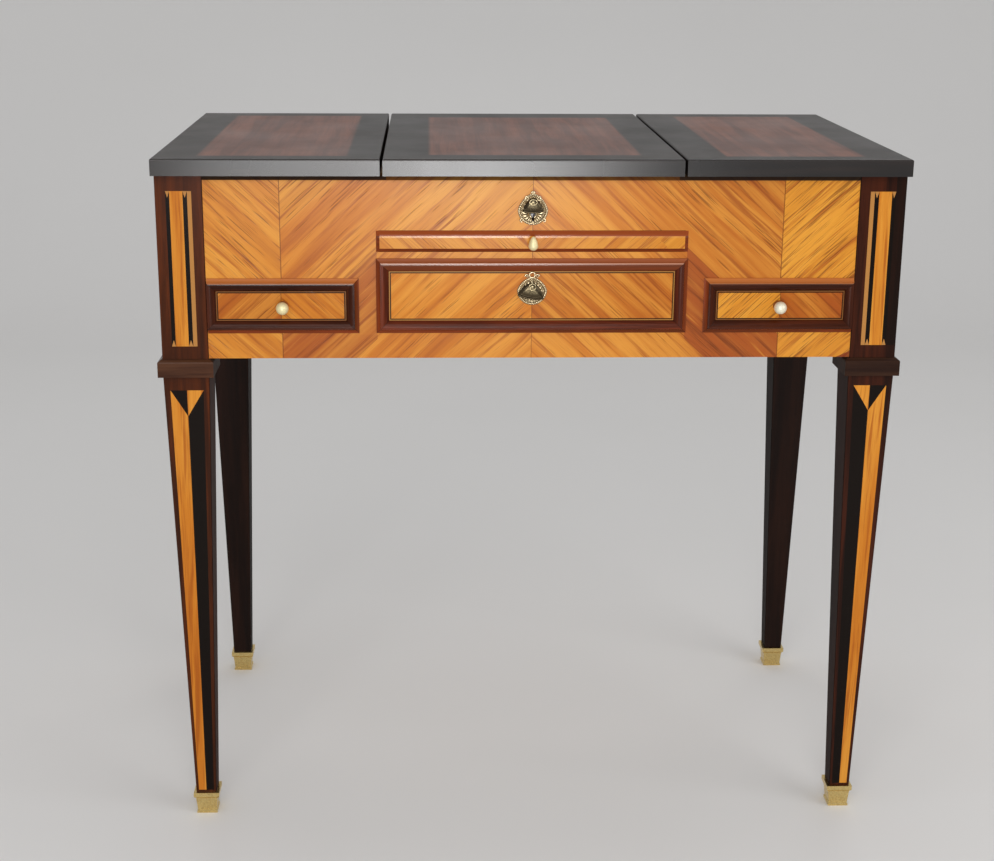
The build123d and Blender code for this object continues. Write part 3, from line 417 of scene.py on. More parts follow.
def drawer_field(shade, from_middle, half_x, seed, left, right):
    """Veneer of a drawer front with a joint in its middle. Returns its colour and its height.

    left and right hold how reddish, yellowish and streaky each half is.
    """
    on_right = from_middle.above(0.0)
    on_left = 1.0 - on_right
    reddish, yellowish, streaky = (on_left * a + on_right * b for a, b in zip(left, right))
    reddish = reddish + (from_middle / half_x).ramp(0.45, 0.85) * right[0] * 0.5
    along, across = herringbone(abs(from_middle), shade.z, -1)
    colour, height = veneer(shade, along, across, seed, reddish, yellowish, streaky)
    joint = abs(from_middle).below(MIDDLE_JOINT_HALF)
    return shade.mix(joint * 0.6, colour, PORE_BROWN), height


def drawer_moulding(shade, to_end, to_top, on_top, frame_tones):
    """The mitred frame of a drawer front: a dark hollow inside a reddish lip.

    frame_tones: two of the hollow, the lighter painted tone of the lit upper lip, its crest's painted
    highlight, and the share of painted sheen in the upper hollow.
    """
    hollow_light, hollow_dark, lit_lip_tone, crest_highlight_tone, upper_sheen = frame_tones
    edge = to_end.smallest(to_top)
    is_end_rail = to_top.above(to_end)
    along = shade.x * (1.0 - is_end_rail) + shade.z * is_end_rail
    across = shade.z * (1.0 - is_end_rail) + shade.x * is_end_rail
    dark, _ = plain_wood(shade, along, across, shade.y, hollow_light, hollow_dark, 0.7)
    lip, _ = plain_wood(shade, along, across, shade.y, LIP_RED, MAHOGANY, 0.7)
    # Painted light on the top rail: a lighter lip, painted sheen in the hollow and a painted highlight
    # on the crest.
    lip = shade.mix(on_top * 0.85, lip, lit_lip_tone)
    dark = shade.mix(on_top * upper_sheen, dark, lit_lip_tone)
    painted_glint = edge.between(*PAINTED_GLINT_SPAN) * on_top
    dark = shade.mix(painted_glint * 0.6, dark, crest_highlight_tone)
    mitre = abs(to_end - to_top).below(FINE_JOINT_HALF)
    return shade.mix(mitre * 0.6, shade.mix(edge.above(LIP_WIDTH), lip, dark), EBONY)


def drawer_front_material(name, middle_x, half_x, left, right, frame_tones, string_tone):
    """A drawer front: veneered field, stringing and moulded frame; plain oak behind."""
    low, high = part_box(name)
    middle_z, half_z = (low.z + high.z) / 2, (high.z - low.z) / 2
    shade = Shade(f"{name}_veneer", roughness=0.22, coat_roughness=0.16, specular=0.12)
    from_middle = shade.x - middle_x
    to_end = half_x - abs(from_middle)
    to_top = half_z - abs(shade.z - middle_z)
    edge = to_end.smallest(to_top)
    on_top = shade.z.above(middle_z) * (1.0 - to_top.above(to_end))
    seed = shade.math("SIGN", from_middle) * 2.0 + middle_x * 70
    colour, height = drawer_field(shade, from_middle, half_x, seed, left, right)
    stringing = shade.mix(edge.between(*LIGHT_STRING_SPAN), STRING_DARK, string_tone)
    colour = shade.mix(edge.between(*STRINGING_SPAN), colour, stringing)
    moulding = drawer_moulding(shade, to_end, to_top, on_top, frame_tones)
    colour = shade.mix(edge.above(FRAME_WIDTH), moulding, colour)
    is_front = shade.y.below(FACADE_Y)
    colour = shade.mix(is_front, oak_behind(shade), colour)
    glossy_crest = edge.between(*CREST_SPAN) * is_front * (on_top * 0.75 + 0.15)
    return shade.finish(colour, coat=glossy_crest, height=height, bump=0.0001)


def slide_front_material():
    """Front edge of the writing slide: a slanted strip of veneer in a dark red bevel whose top band is
    painted lighter where light falls.
    """
    low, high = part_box("slide_front")
    shade = Shade("slide_front_veneer", roughness=0.22, coat_roughness=0.14, specular=0.15)
    along, across = herringbone(abs(shade.x), shade.z, 1)
    end_piece = (shade.x + shade.z - high.z).above(SLIDE_END_X)
    seed = shade.math("SIGN", shade.x) + end_piece * 5.0 + 9.0
    colour, height = veneer(shade, along, across, seed, 0.16, end_piece * 0.4 + 0.15, 0.5)
    dark, _ = plain_wood(shade, shade.x, shade.z, shade.y, LIP_RED, MAHOGANY)
    # Painted light: the upward top band is a lighter red than the rest of the bevel.
    dark = shade.mix(shade.z.above(high.z - SLIDE_TOP_BAND), dark, SLIDE_TOP_LIT_RED)
    to_band = high.z - (SLIDE_TOP_BAND - SLIDE_BEVEL) - shade.z
    to_rim = (high.x - abs(shade.x)).smallest(to_band.smallest(shade.z - low.z))
    colour = shade.mix(to_rim.below(SLIDE_BEVEL), colour, dark)
    is_front = shade.y.below(FACADE_Y)
    below_arris = high.z - SLIDE_TOP_BAND - shade.z
    glint = below_arris.between(*SLIDE_GLINT_SPAN) * is_front
    height = height + below_arris.ramp(*ROUNDED_ARRIS_SPAN) * 2.5
    colour = shade.mix(is_front, oak_behind(shade), colour)
    return shade.finish(colour, coat=glint, height=height, bump=0.0001)


POST_FIELD = (0.5655, 0.7327)  # lowest and highest point of the striped panel of a post
POST_LIGHT = ((0.3596, 0.3640), (0.3687, 0.3826))
POST_BLACK = ((0.3640, 0.3687), (0.3826, 0.3868))
POST_OUTER_X = 0.3868  # where the right front post turns nearly black
FORK_LENGTH = 0.007
LEG_FIELD_FOOT = 0.030
LEG_FIELD_TOP = {-1: 0.5165, 1: 0.520}  # left and right leg
LEG_TRIANGLE_APEX = {-1: 0.487, 1: 0.491}
LEG_FIELD_SHARE = 0.73  # of the width of a leg


def stripe_panel(shade, position):
    """Masks of a post's wide light, pale and black stripes.

    position runs outwards like |x| of a front leg. The pale ones are the narrow stripe and the forks
    at the ends of the black stripes.
    """
    inside = shade.z.between(*POST_FIELD)
    to_end = (shade.z - POST_FIELD[0]).smallest(POST_FIELD[1] - shade.z)
    pale = position.between(*POST_LIGHT[0])
    light = position.between(*POST_LIGHT[1])
    black = position.between(*POST_BLACK[0]).largest(position.between(*POST_BLACK[1]))
    for low, high in POST_BLACK:
        reach = (1.0 - to_end / FORK_LENGTH) * ((high - low) / 2)
        pale = pale.largest(abs(position - (low + high) / 2).below(reach))
    return light * inside, pale * inside, black * inside * (1.0 - pale)


def leg_field(shade, share, side):
    """Masks of a leg's light and black inlay, which change places in the triangle at its head."""
    in_field = abs(share).below(LEG_FIELD_SHARE) * shade.z.between(LEG_FIELD_FOOT, LEG_FIELD_TOP[side])
    apex = LEG_TRIANGLE_APEX[side]
    slope = (LEG_FIELD_TOP[side] - apex) / LEG_FIELD_SHARE
    triangle = (shade.z - abs(share) * slope).above(apex)
    lit = abs(share.above(0.0) - triangle)
    return in_field * lit, in_field * (1.0 - lit)


def leg_material(name, side, middle_y, is_front_leg):
    """A post and leg in dark wood with striped and tapering inlays on the faces that show, and painted
    shade on its inner faces.
    """
    shade = Shade(name, specular=0.1)
    # The rear legs' darker tones are partly their own dark wood and partly painted shade under the case.
    tones = (REAR_WOOD, REAR_WOOD_DARK)
    if is_front_leg:
        tones = (MAHOGANY, MAHOGANY_DARK) if side < 0 else (MAHOGANY_AGED, MAHOGANY_BLACKENED)
    dark, fibre = plain_wood(shade, shade.z, shade.x, shade.y, *tones)
    inner = (shade.nx * side).below(-0.5)
    # Painted shade: faces turned under the table are darkened.
    colour = shade.mix(inner * 0.7, dark, REAR_WOOD_DARK)
    if is_front_leg and side > 0:
        blackened = shade.x.above(POST_OUTER_X) * shade.z.above(POST_FIELD[0])
        colour = shade.mix(blackened * 0.8, colour, EBONY)
    half = (shade.z - LEG_FOOT) * LEG_TAPER + LEG_FOOT_HALF
    seed = side * 3.0 + middle_y
    light_wood, _ = veneer(shade, shade.z, shade.x + shade.y, seed, 0.13, 0.1, -0.7)
    end = -1 if is_front_leg else 1
    faces = [(shade.nx * side, (shade.y - middle_y) * end)]
    if is_front_leg:
        faces.append((shade.ny * -1.0, (shade.x - side * LEG_X) * side))
    for facing, offset in faces:
        shows = facing.above(0.5)
        post_light, post_pale, post_black = stripe_panel(shade, offset + LEG_X)
        leg_light, leg_black = leg_field(shade, offset / half, side)
        colour = shade.mix(shows * post_black.largest(leg_black), colour, EBONY)
        colour = shade.mix(shows * post_light.largest(leg_light), colour, light_wood)
        colour = shade.mix(shows * post_pale, colour, INLAY_CREAM)
    return shade.finish(colour, roughness=inner * 0.42 + 0.24, height=fibre, bump=0.00005)


def plain_wood_material(name, light, dark, roughness, axis):
    """Plain wood with its grain along the x or the y axis."""
    shade = Shade(name, roughness=roughness, specular=0.3)
    along, across = (shade.x, shade.y) if axis == "x" else (shade.y, shade.x)
    colour, fibre = plain_wood(shade, along, across, shade.z, light, dark)
    return shade.finish(colour, height=fibre, bump=0.00008)


def collar_material():
    """Brown collars, dull, with painted shade on the sides that face under the table, and darker on the
    right.
    """
    shade = Shade("collar_wood", specular=0.15)
    colour, fibre = plain_wood(shade, shade.x, shade.z, shade.y, COLLAR_BROWN, MAHOGANY_DARK)
    inner = (shade.nx * shade.math("SIGN", shade.x)).below(-0.5)
    # Painted shade on the inner faces; the right-hand collars are darker as well.
    darker = (shade.x.above(0.0) * 0.6).largest(inner * 0.7)
    colour = shade.mix(darker, colour, REAR_WOOD_DARK)
    return shade.finish(colour, roughness=inner * 0.42 + 0.24, height=fibre, bump=0.00008)


def side_panel_material(name, side):
    """End of the case: veneer slanting to a joint in the middle, oak inside."""
    shade = Shade(name, roughness=0.24, specular=0.2)
    middle = (FRONT_LEG_Y + REAR_LEG_Y) / 2
    distance = abs(shade.y - middle)
    along, across = herringbone(distance, shade.z, -1)
    seed = shade.math("SIGN", shade.y - middle) + side * 11.0
    colour, height = veneer(shade, along, across, seed, 0.1, 0.1, 0.5)
    colour = shade.mix(distance.below(MIDDLE_JOINT_HALF) * 0.6, colour, PORE_BROWN)
    plain, _ = plain_wood(shade, shade.y, shade.z, shade.x, OAK, OAK_DARK)
    shows = (shade.nx * side).above(0.5)
    return shade.finish(shade.mix(shows, plain, colour), height=height, bump=0.0001)


def rim_distance(shade, low, high):
    """Distance from the edge of a rectangle that lies flat, more than 0 inside it."""
    to_side = (shade.x - low[0]).smallest(high[0] - shade.x)
    to_end = (shade.y - low[1]).smallest(high[1] - shade.y)
    return to_side.smallest(to_end)


def flap_material(name, low, high, middle_x):
    """A panel of the top: a brown field with a cloudy figure, worn softly into a near-black border.

    low and high are the field's corners. Its figure is mirrored about middle_x.
    """
    shade = Shade(name, roughness=0.34, coat_roughness=0.2, specular=0.21)
    inside = rim_distance(shade, low, high).ramp(*WORN_EDGE_SPAN) * shade.nz.above(0.5)
    from_middle = abs(shade.x - middle_x)
    cloud = shade.noise(shade.vector(from_middle * 11, shade.y * 7, 0.0), detail=4, distortion=0.8)
    brown, fibre = plain_wood(shade, shade.y, shade.x, shade.z, TOP_BROWN, TOP_BROWN_DARK)
    brown = shade.mix(cloud.ramp(0.4, 0.65) * 0.6, brown, TOP_BROWN_DARK)
    black, _ = plain_wood(shade, shade.x, shade.y, shade.z, TOP_BLACK_WORN, TOP_BLACK)
    colour = shade.mix(inside, black, brown)
    under, _ = plain_wood(shade, shade.y, shade.x, shade.z, MAHOGANY, MAHOGANY_DARK)
    colour = shade.mix(shade.nz.below(-0.5), colour, under)
    smear = shade.noise(shade.vector(shade.x * 14, shade.y * 10, shade.z), detail=3)
    front = shade.ny.below(-0.3)
    roughness = smear * 0.2 + (0.26 - front * 0.1)
    return shade.finish(colour, roughness=roughness, coat=front * 0.9, height=fibre, bump=0.00006)


# ---- metals, leather, glass
def metal_material(name, light, dark, roughness):
    """Old polished metal with a thin uneven tarnish."""
    shade = Shade(name, roughness=roughness, metallic=1.0)
    patina = shade.noise(shade.place, scale=PATINA_SCALE, detail=4, roughness=0.6)
    spots = shade.noise(shade.place, scale=PATINA_SCALE * 5)
    colour = shade.mix(patina.ramp(0.4, 0.75) * GRIME, light, dark)
    colour = shade.mix(spots.ramp(0.66, 0.78) * GRIME * 0.5, colour, dark)
    return shade.finish(colour, roughness=patina * 0.2 + (roughness - 0.08), height=patina, bump=0.00006)


def knob_material():
    """Brass knobs painted paler as strong light shows them, the right one whiter with a painted
    highlight, and browned by painted shade at the foot.
    """
    shade = Shade("pale_brass", metallic=0.4)
    patina = shade.noise(shade.place, scale=PATINA_SCALE, detail=4, roughness=0.6)
    colour = shade.mix(patina.ramp(0.4, 0.75) * 0.3, PALE_BRASS, PALE_BRASS_DARK)
    # Painted highlight: the right knob is painted whiter; painted shade browns each knob at its foot.
    colour = shade.mix(shade.x.above(SEAM_X / 2) * 0.7, colour, RIGHT_KNOB_HIGHLIGHT)
    colour = shade.mix(shade.y.ramp(*KNOB_SHADE_SPAN), colour, FOOT_SHADE_BROWN)
    return shade.finish(colour, roughness=patina * 0.2 + 0.34, height=patina, bump=0.00006)


def chased_material(name, ground_y, relief, light, dark, hollow=0.75):
    """Cast and chased metal: bright on its crests, dark with old wax in its hollows.

    hollow is the height, as a share of the relief, up to which it stays dark.
    """
    shade = Shade(name, roughness=0.3, metallic=1.0)
    height = (ground_y - shade.y) / relief
    patina = shade.noise(shade.place, scale=900, detail=3)
    uneven_height = height + (patina - 0.5) * 0.5
    colour = shade.mix(uneven_height.ramp(hollow - 0.15, hollow + 0.25), dark, light)
    rough = 1.0 - height.ramp(0.2, 0.9) * 0.6
    return shade.finish(colour, roughness=rough * 0.48, height=patina, bump=0.00008)


def leather_material():
    """Tooled leather with two gold lines near its edge."""
    low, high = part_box("slide_leather")
    shade = Shade("tooled_leather", roughness=0.5, specular=0.35)
    edge = rim_distance(shade, low, high)
    mottling = shade.noise(shade.place, scale=60, detail=4)
    pebble = shade.noise(shade.place, scale=1400)
    colour = shade.mix(mottling.ramp(0.35, 0.7), LEATHER_DARK, LEATHER)
    wear = shade.noise(shade.place, scale=900, detail=1).above(0.4)
    gold = edge.between(*GOLD_LINES[0]).largest(edge.between(*GOLD_LINES[1])) * wear
    return shade.finish(shade.mix(gold, colour, GOLD_LEAF), height=pebble - gold, bump=0.0002)


def mirror_material():
    """Old silvering, slightly clouded towards its edge."""
    low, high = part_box("mirror_glass")
    shade = Shade("old_silvering", roughness=0.03, metallic=1.0)
    foxing = shade.noise(shade.place, scale=90, detail=5, roughness=0.7)
    near_edge = rim_distance(shade, low, high).ramp(0.03, 0.0)
    stain = (foxing + near_edge * 0.14).ramp(0.66, 0.82)
    colour = shade.mix(stain, SILVERING, SILVERING_STAIN)
    return shade.finish(colour, roughness=stain * 0.3 + 0.03)


def dress(material, *names):
    """Give CAD nodes a material of the scene."""
    for name in names:
        for slot in nodes[name].material_slots:
            slot.material = material


def ending(*ends):
    """Names of the CAD nodes with these endings."""
    return [name for name in nodes if name.endswith(ends)]


front_veneers = facade_material()
dress(front_veneers, "front_left_panel", "front_centre_panel", "front_right_panel")
dress(front_veneers, "drawer_rail", "front_bottom_rail")
# Tones: hollow light and dark, painted lit top lip, painted crest highlight, painted sheen share.
CENTRE_FRAME = (PURPLEWOOD, PURPLEWOOD_DARK, LIP_BROWN, CREST_HIGHLIGHT, 0.3)
SIDE_FRAME = (NIGHTWOOD_LIGHT, NIGHTWOOD, LIP_ORANGE, LIP_ORANGE, 0.0)
CENTRE_VENEER = ((0.0, 0.0, 0.5), (0.3, 0.0, 0.3))  # reddish, yellowish, streaky: left and right half
LEFT_VENEER = ((0.5, 0.0, 0.7), (0.1, 0.1, 0.5))
RIGHT_VENEER = ((0.0, 0.5, 1.0), (0.6, 0.0, 0.2))
centre_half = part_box("centre_drawer_front")[1].x
for name, middle, half, halves, tones, string in (
    ("centre_drawer_front", 0.0, centre_half, CENTRE_VENEER, CENTRE_FRAME, STRING_LIGHT),
    ("left_drawer_front", -SIDE_FRAME_X, SIDE_FRAME_HALF, LEFT_VENEER, SIDE_FRAME, STRING_DIM),
    ("right_drawer_front", SIDE_FRAME_X, SIDE_FRAME_HALF, RIGHT_VENEER, SIDE_FRAME, STRING_DIM),
):
    dress(drawer_front_material(name, middle, half, *halves, tones, string), name)
dress(slide_front_material(), "slide_front")
for name, side in (("left", -1), ("right", 1)):
    dress(leg_material(f"{name}_front_leg_marquetry", side, FRONT_LEG_Y, True), f"leg_front_{name}")
    dress(leg_material(f"{name}_rear_leg_marquetry", side, REAR_LEG_Y, False), f"leg_rear_{name}")
    dress(side_panel_material(f"{name}_end_veneer", side), f"{name}_side_panel")
dress(collar_material(), "leg_collars")
for name, low, high, middle in (
    ("left", (-0.355, -0.211), (-0.1954, 0.203), -0.28),
    ("centre", (-0.1107, -0.202), (0.117, 0.187), 0.0),
    ("right", (0.205, -0.211), (0.355, 0.203), 0.28),
):
    dress(flap_material(f"{name}_top", low, high, middle), f"{name}_flap")
dress(plain_wood_material("mirror_frame_wood", MAHOGANY, MAHOGANY_DARK, 0.26, "y"), "mirror_frame")
dress(plain_wood_material("back_board", BACK_BROWN, BACK_BROWN_DARK, 0.6, "x"), "back_panel")
oak_across = plain_wood_material("oak_across", OAK, OAK_DARK, 0.6, "x")
dress(oak_across, "slide_stop", "slide_stop_rail", "bottom_board")
dress(oak_across, *ending("_drawer_back", "_drawer_bottom"))
oak_lengthwise = plain_wood_material("oak_lengthwise", OAK, OAK_DARK, 0.6, "y")
dress(oak_lengthwise, "partitions", "flap_rests", "drawer_guides", *ending("_drawer_sides"))
dress(oak_lengthwise, "slide_dust_board", "slide_board", "centre_well_floor", "side_well_floors")
dress(leather_material(), "slide_leather")
dress(mirror_material(), "mirror_glass")
brass = metal_material("polished_brass", BRASS, BRASS_DARK, 0.26)
pale_brass = knob_material()
steel = metal_material("bright_steel", STEEL, STEEL_DARK, 0.38)
dress(brass, "leg_sabots", "lid_lock_strike", "hinge_case_leaves")
dress(brass, *ending("_flap_hinge_leaves"))
dress(pale_brass, "left_drawer_knob", "right_drawer_knob", "slide_knob")
dress(steel, "lid_lock", "lid_lock_bolt", "drawer_lock")


# ---- escutcheons and keyhole covers
def arc(start, middle, end, steps):
    """Points on the circle through three points, from the first to just before the last."""
    a, b, c = complex(*start), complex(*middle), complex(*end)
    ratio = (c - a) / (b - a)
    centre = a - (a - b) * (ratio - abs(ratio) ** 2) / (2j * ratio.imag)
    turn = cmath.phase((c - centre) / (a - centre))
    part = cmath.phase((b - centre) / (a - centre))
    if part * turn < 0 or abs(part) > abs(turn):
        turn += math.copysign(2 * math.pi, part)
    spokes = [(a - centre) * cmath.exp(1j * turn * step / steps) for step in range(steps)]
    return [((centre + spoke).real, (centre + spoke).imag) for spoke in spokes]


def oval(half_x, half_z, y, middle_z, count, closed=False):
    """Points round an upright oval on the front. A closed one ends with the point it starts from."""
    steps = count + 1 if closed else count
    angles = [2 * math.pi * step / count for step in range(steps)]
    return [(half_x * math.sin(t), y, middle_z + half_z * math.cos(t)) for t in angles]


def shell(shape, rings):
    """Join closed rings of points with quads. Each ring has as many points as the next."""
    rows = [[shape.verts.new(point) for point in ring] for ring in rings]
    for first, second in zip(rows, rows[1:]):
        for index in range(len(first)):
            after = (index + 1) % len(first)
            shape.faces.new((first[index], first[after], second[after], second[index]))
    return rows


def fan(shape, row, point):
    """Close a ring of vertices with triangles that meet at a point."""
    tip = shape.verts.new(point)
    for index in range(len(row)):
        shape.faces.new((row[index], row[(index + 1) % len(row)], tip))


def add_tube(shape, path, radius, sides=8):
    """A round tube along a path on the front. radius may be a list with one for each point."""
    count = len(path)
    radii = radius if isinstance(radius, list) else [radius] * count
    outward = Vector((0, -1, 0))
    rings = []
    for index, point in enumerate(path):
        before, after = Vector(path[max(index - 1, 0)]), Vector(path[min(index + 1, count - 1)])
        sideways = (after - before).normalized().cross(outward).normalized()
        ring = []
        for side in range(sides):
            turn = 2 * math.pi * side / sides
            spoke = sideways * math.cos(turn) + outward * math.sin(turn)
            ring.append(Vector(point) + spoke * radii[index])
        rings.append(ring)
    rows = shell(shape, rings)
    fan(shape, rows[0], path[0])
    fan(shape, rows[-1], path[-1])


def add_bead(shape, place, size, turn=0.0):
    """An egg-shaped bead on the front: size is its half width, half depth and half height."""
    matrix = Matrix.Translation(place) @ Matrix.Rotation(turn, 4, "Y") @ Matrix.Diagonal((*size, 1.0))
    bmesh.ops.create_icosphere(shape, subdivisions=2, radius=1.0, matrix=matrix)


def add_object(name, data):
    """Put a mesh, a light or a camera into the scene."""
    added = bpy.data.objects.new(name, data)
    bpy.context.scene.collection.objects.link(added)
    return added


def finish_piece(name, shape, material, body, slot, *nodes_replaced):
    """Turn a bmesh into a smooth piece that rides on a body."""
    bmesh.ops.remove_doubles(shape, verts=shape.verts, dist=1e-7)
    bmesh.ops.recalc_face_normals(shape, faces=shape.faces)
    for face in shape.faces:
        face.smooth = True
    mesh = bpy.data.meshes.new(name)
    shape.to_mesh(mesh)
    shape.free()
    mesh.materials.append(material)
    mesh.set_sharp_from_angle(angle=math.radians(50))
    piece = add_object(name, mesh)
    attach(piece, body)
    if nodes_replaced:
        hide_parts(*nodes_replaced)
    return piece


def joint_place(name):
    """Where a joint of the record turns."""
    joints = frame["record"]["behaviour"]["joints"]
    return next(Vector(joint["pos_m"]) for joint in joints if joint["name"] == name)


PLATE_HALF = 16 * MM
PLATE_GROUND = 0.8 * MM  # thickness of an escutcheon between its raised parts
PLATE_RELIEF = 1.55 * MM  # and at its crests
PLATE_SHOULDER = (0.32, 0.62)  # shares of a plate's width and of the height over its belly
KEYHOLE_RADIUS, KEYHOLE_SLOT_HALF, KEYHOLE_DROP = 2.4 * MM, 1.1 * MM, 7 * MM
RIM_PLACE, RIM_WIDTH = 0.9 * MM, 0.7 * MM  # of the raised rim, from the keyhole's edge
FLUTES = 18
FLUTE_START, FLUTE_SPAN = 0.18, 0.62  # shares of the way from the keyhole to the outline
BORDER_BEADS = 46
# Inset in millimetres, lean in radians and half sizes in millimetres of a leaf of the border.
BORDER_LEAVES = ((1.2, 0.7, (1.75, 0.7, 0.82)), (3.4, -0.7, (1.25, 0.5, 0.6)))
SCROLL_THIN, SCROLL_THICK = 0.35 * MM, 0.7 * MM
BUD_LEANS = (-1.25, -0.62, 0.0, 0.62, 1.25)
SMALL_RING_RADIUS, SMALL_RING_WIRE = 3.0 * MM, 0.8 * MM


def drop_outline(bottom, top, steps):
    """Outline of a drop-shaped plate: a half circle below, two leaning arcs above."""
    belly = bottom + PLATE_HALF
    shoulder_x = 2 * PLATE_HALF * PLATE_SHOULDER[0]
    shoulder_z = belly + (top - belly) * PLATE_SHOULDER[1]
    points = arc((-PLATE_HALF, belly), (0, bottom), (PLATE_HALF, belly), steps)
    points += arc((PLATE_HALF, belly), (shoulder_x, shoulder_z), (0, top), steps // 2)
    points += arc((0, top), (-shoulder_x, shoulder_z), (-PLATE_HALF, belly), steps // 2)
    return points


def keyhole_edge(direction):
    """Distance from the keyhole's centre to its edge in a direction (x, z)."""
    x, z = direction
    if z >= 0:
        return KEYHOLE_RADIUS
    to_side = KEYHOLE_SLOT_HALF / max(abs(x), 1e-6)
    return max(KEYHOLE_RADIUS, min(KEYHOLE_DROP / -z, to_side))


def plate_height(share, past_edge, turn):
    """How far a plate stands out: a raised rim round the keyhole, then gadroons up to its border."""
    rim = math.exp(-(((past_edge - RIM_PLACE) / RIM_WIDTH) ** 2))
    swell = math.sin(math.pi * min(max((share - FLUTE_START) / FLUTE_SPAN, 0), 1))
    flute = abs(math.cos(turn * FLUTES / 2)) * swell
    return PLATE_GROUND + max(rim, flute * 0.9) * (PLATE_RELIEF - PLATE_GROUND)


def add_plate(shape, face_y, bottom, top, keyhole_z):
    """The chased ground of an escutcheon, with its keyhole."""
    outline = drop_outline(bottom, top, 120)
    rings = []
    steps = 16
    for step in range(steps + 1):
        share = step / steps
        ring = []
        for x, z in outline:
            reach = math.hypot(x, z - keyhole_z)
            direction = (x / reach, (z - keyhole_z) / reach)
            start = keyhole_edge(direction)
            radius = start + (reach - start) * share
            turn = math.atan2(direction[0], -direction[1])
            height = plate_height(share, radius - start, turn)
            ring.append((direction[0] * radius, face_y - height, keyhole_z + direction[1] * radius))
        rings.append(ring)
    edge = [(x, face_y, z) for x, _, z in rings[-1]]
    inner = [(x, face_y, z) for x, _, z in rings[0]]
    shell(shape, [inner, *rings, edge])


def add_rope_border(shape, face_y, bottom, top):
    """A border of slanted leaves that follows the outline of a plate."""
    outline = [Vector((x, 0, z)) for x, z in drop_outline(bottom, top, 240)]
    lengths = [0.0]
    for first, second in zip(outline, outline[1:] + outline[:1]):
        lengths.append(lengths[-1] + (second - first).length)
    pitch = lengths[-1] / BORDER_BEADS
    index = 0
    for bead in range(BORDER_BEADS):
        while lengths[index + 1] < bead * pitch:
            index += 1
        here, after = outline[index], outline[(index + 1) % len(outline)]
        tangent = (after - here).normalized()
        inward = Vector((-tangent.z, 0, tangent.x))
        turn = math.atan2(-tangent.z, tangent.x)
        for inset, lean, size in BORDER_LEAVES:
            place = here + inward * (inset * MM)
            place.y = face_y - PLATE_GROUND
            add_bead(shape, place, [value * MM for value in size], turn + lean)


def add_scroll(shape, centre, face_y, radius, start, turns, hand):
    """A scroll on the front that winds in to its centre and grows thinner."""
    steps = 22
    path, radii = [], []
    for step in range(steps + 1):
        share = step / steps
        reach = radius * (1 - 0.75 * share)
        angle = start + hand * turns * 2 * math.pi * share
        x, z = centre[0] + reach * math.cos(angle), centre[1] + reach * math.sin(angle)
        path.append((x, face_y - PLATE_GROUND, z))
        radii.append(SCROLL_THICK + (SCROLL_THIN - SCROLL_THICK) * step / (steps + 1))
    add_tube(shape, path, radii)


def lid_escutcheon(material):
    """The upper keyhole plate: rope border, gadroons, scrolled shoulders and a leafy bud on top."""
    low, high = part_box("lid_escutcheon")
    keyhole_z = low.z + 11 * MM
    shape = bmesh.new()
    plate_top = high.z - 2.5 * MM
    add_plate(shape, FACADE_Y, low.z, plate_top, keyhole_z)
    add_rope_border(shape, FACADE_Y, low.z, plate_top)
    for hand in (-1, 1):
        shoulder = (hand * 6.2 * MM, high.z - 8.5 * MM)
        foot = (hand * 11.5 * MM, low.z + 5.5 * MM)
        add_scroll(shape, shoulder, FACADE_Y, 2.6 * MM, math.pi / 2, 1.3, -hand)
        add_scroll(shape, foot, FACADE_Y, 2.2 * MM, -math.pi / 2, 1.2, hand)
    bud_z = high.z - 2.6 * MM
    petal_y = FACADE_Y - PLATE_RELIEF * 0.8
    for lean in BUD_LEANS:
        place = (math.sin(lean) * 1.5 * MM, petal_y, bud_z + math.cos(lean) * 1.4 * MM)
        add_bead(shape, place, (0.65 * MM, 0.6 * MM, 1.5 * MM), lean)
    add_bead(shape, (0, FACADE_Y - PLATE_RELIEF, bud_z - 0.4 * MM), (1.0 * MM, 0.8 * MM, 1.0 * MM))
    return finish_piece("gilt_lid_escutcheon", shape, material, "carcass", "gilt", "lid_escutcheon")


def drawer_escutcheon(material, face_y):
    """The lower keyhole plate: rope border with a small ring between two scrolls on top."""
    low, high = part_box("drawer_escutcheon")
    ring_z = high.z - SMALL_RING_RADIUS - SMALL_RING_WIRE
    plate_top = ring_z - SMALL_RING_RADIUS + 1.2 * MM
    keyhole_z = low.z + 13 * MM
    shape = bmesh.new()
    add_plate(shape, face_y, low.z, plate_top, keyhole_z)
    add_rope_border(shape, face_y, low.z, plate_top)
    wire_y = face_y - PLATE_GROUND
    ring = oval(SMALL_RING_RADIUS, SMALL_RING_RADIUS, wire_y, ring_z, 28, closed=True)
    add_tube(shape, ring, SMALL_RING_WIRE)
    for hand in (-1, 1):
        centre = (hand * 5.6 * MM, plate_top + 0.6 * MM)
        start = math.pi / 2 - hand * math.pi / 2
        add_scroll(shape, centre, face_y, 2.1 * MM, start, 1.25, hand)
    return finish_piece(
        "gilt_drawer_escutcheon", shape, material, "centre_drawer", "gilt", "drawer_escutcheon"
    )


COVER_HIP = (0.36, 0.62)  # shares of a cover's width and height
COVER_SAG = 2 * MM
COVER_DOME, DOME_POWER = 2.3 * MM, 2.4
COVER_EDGE = 1.0 * MM
COVER_GAP = 0.25 * MM  # between a cover's back and the crests of its plate
COVER_RELIEF = 5.4 * MM  # from the face of the wood to a cover's crests
RIDGE_WIRE, BOSS_WIRE = 0.35 * MM, 0.75 * MM


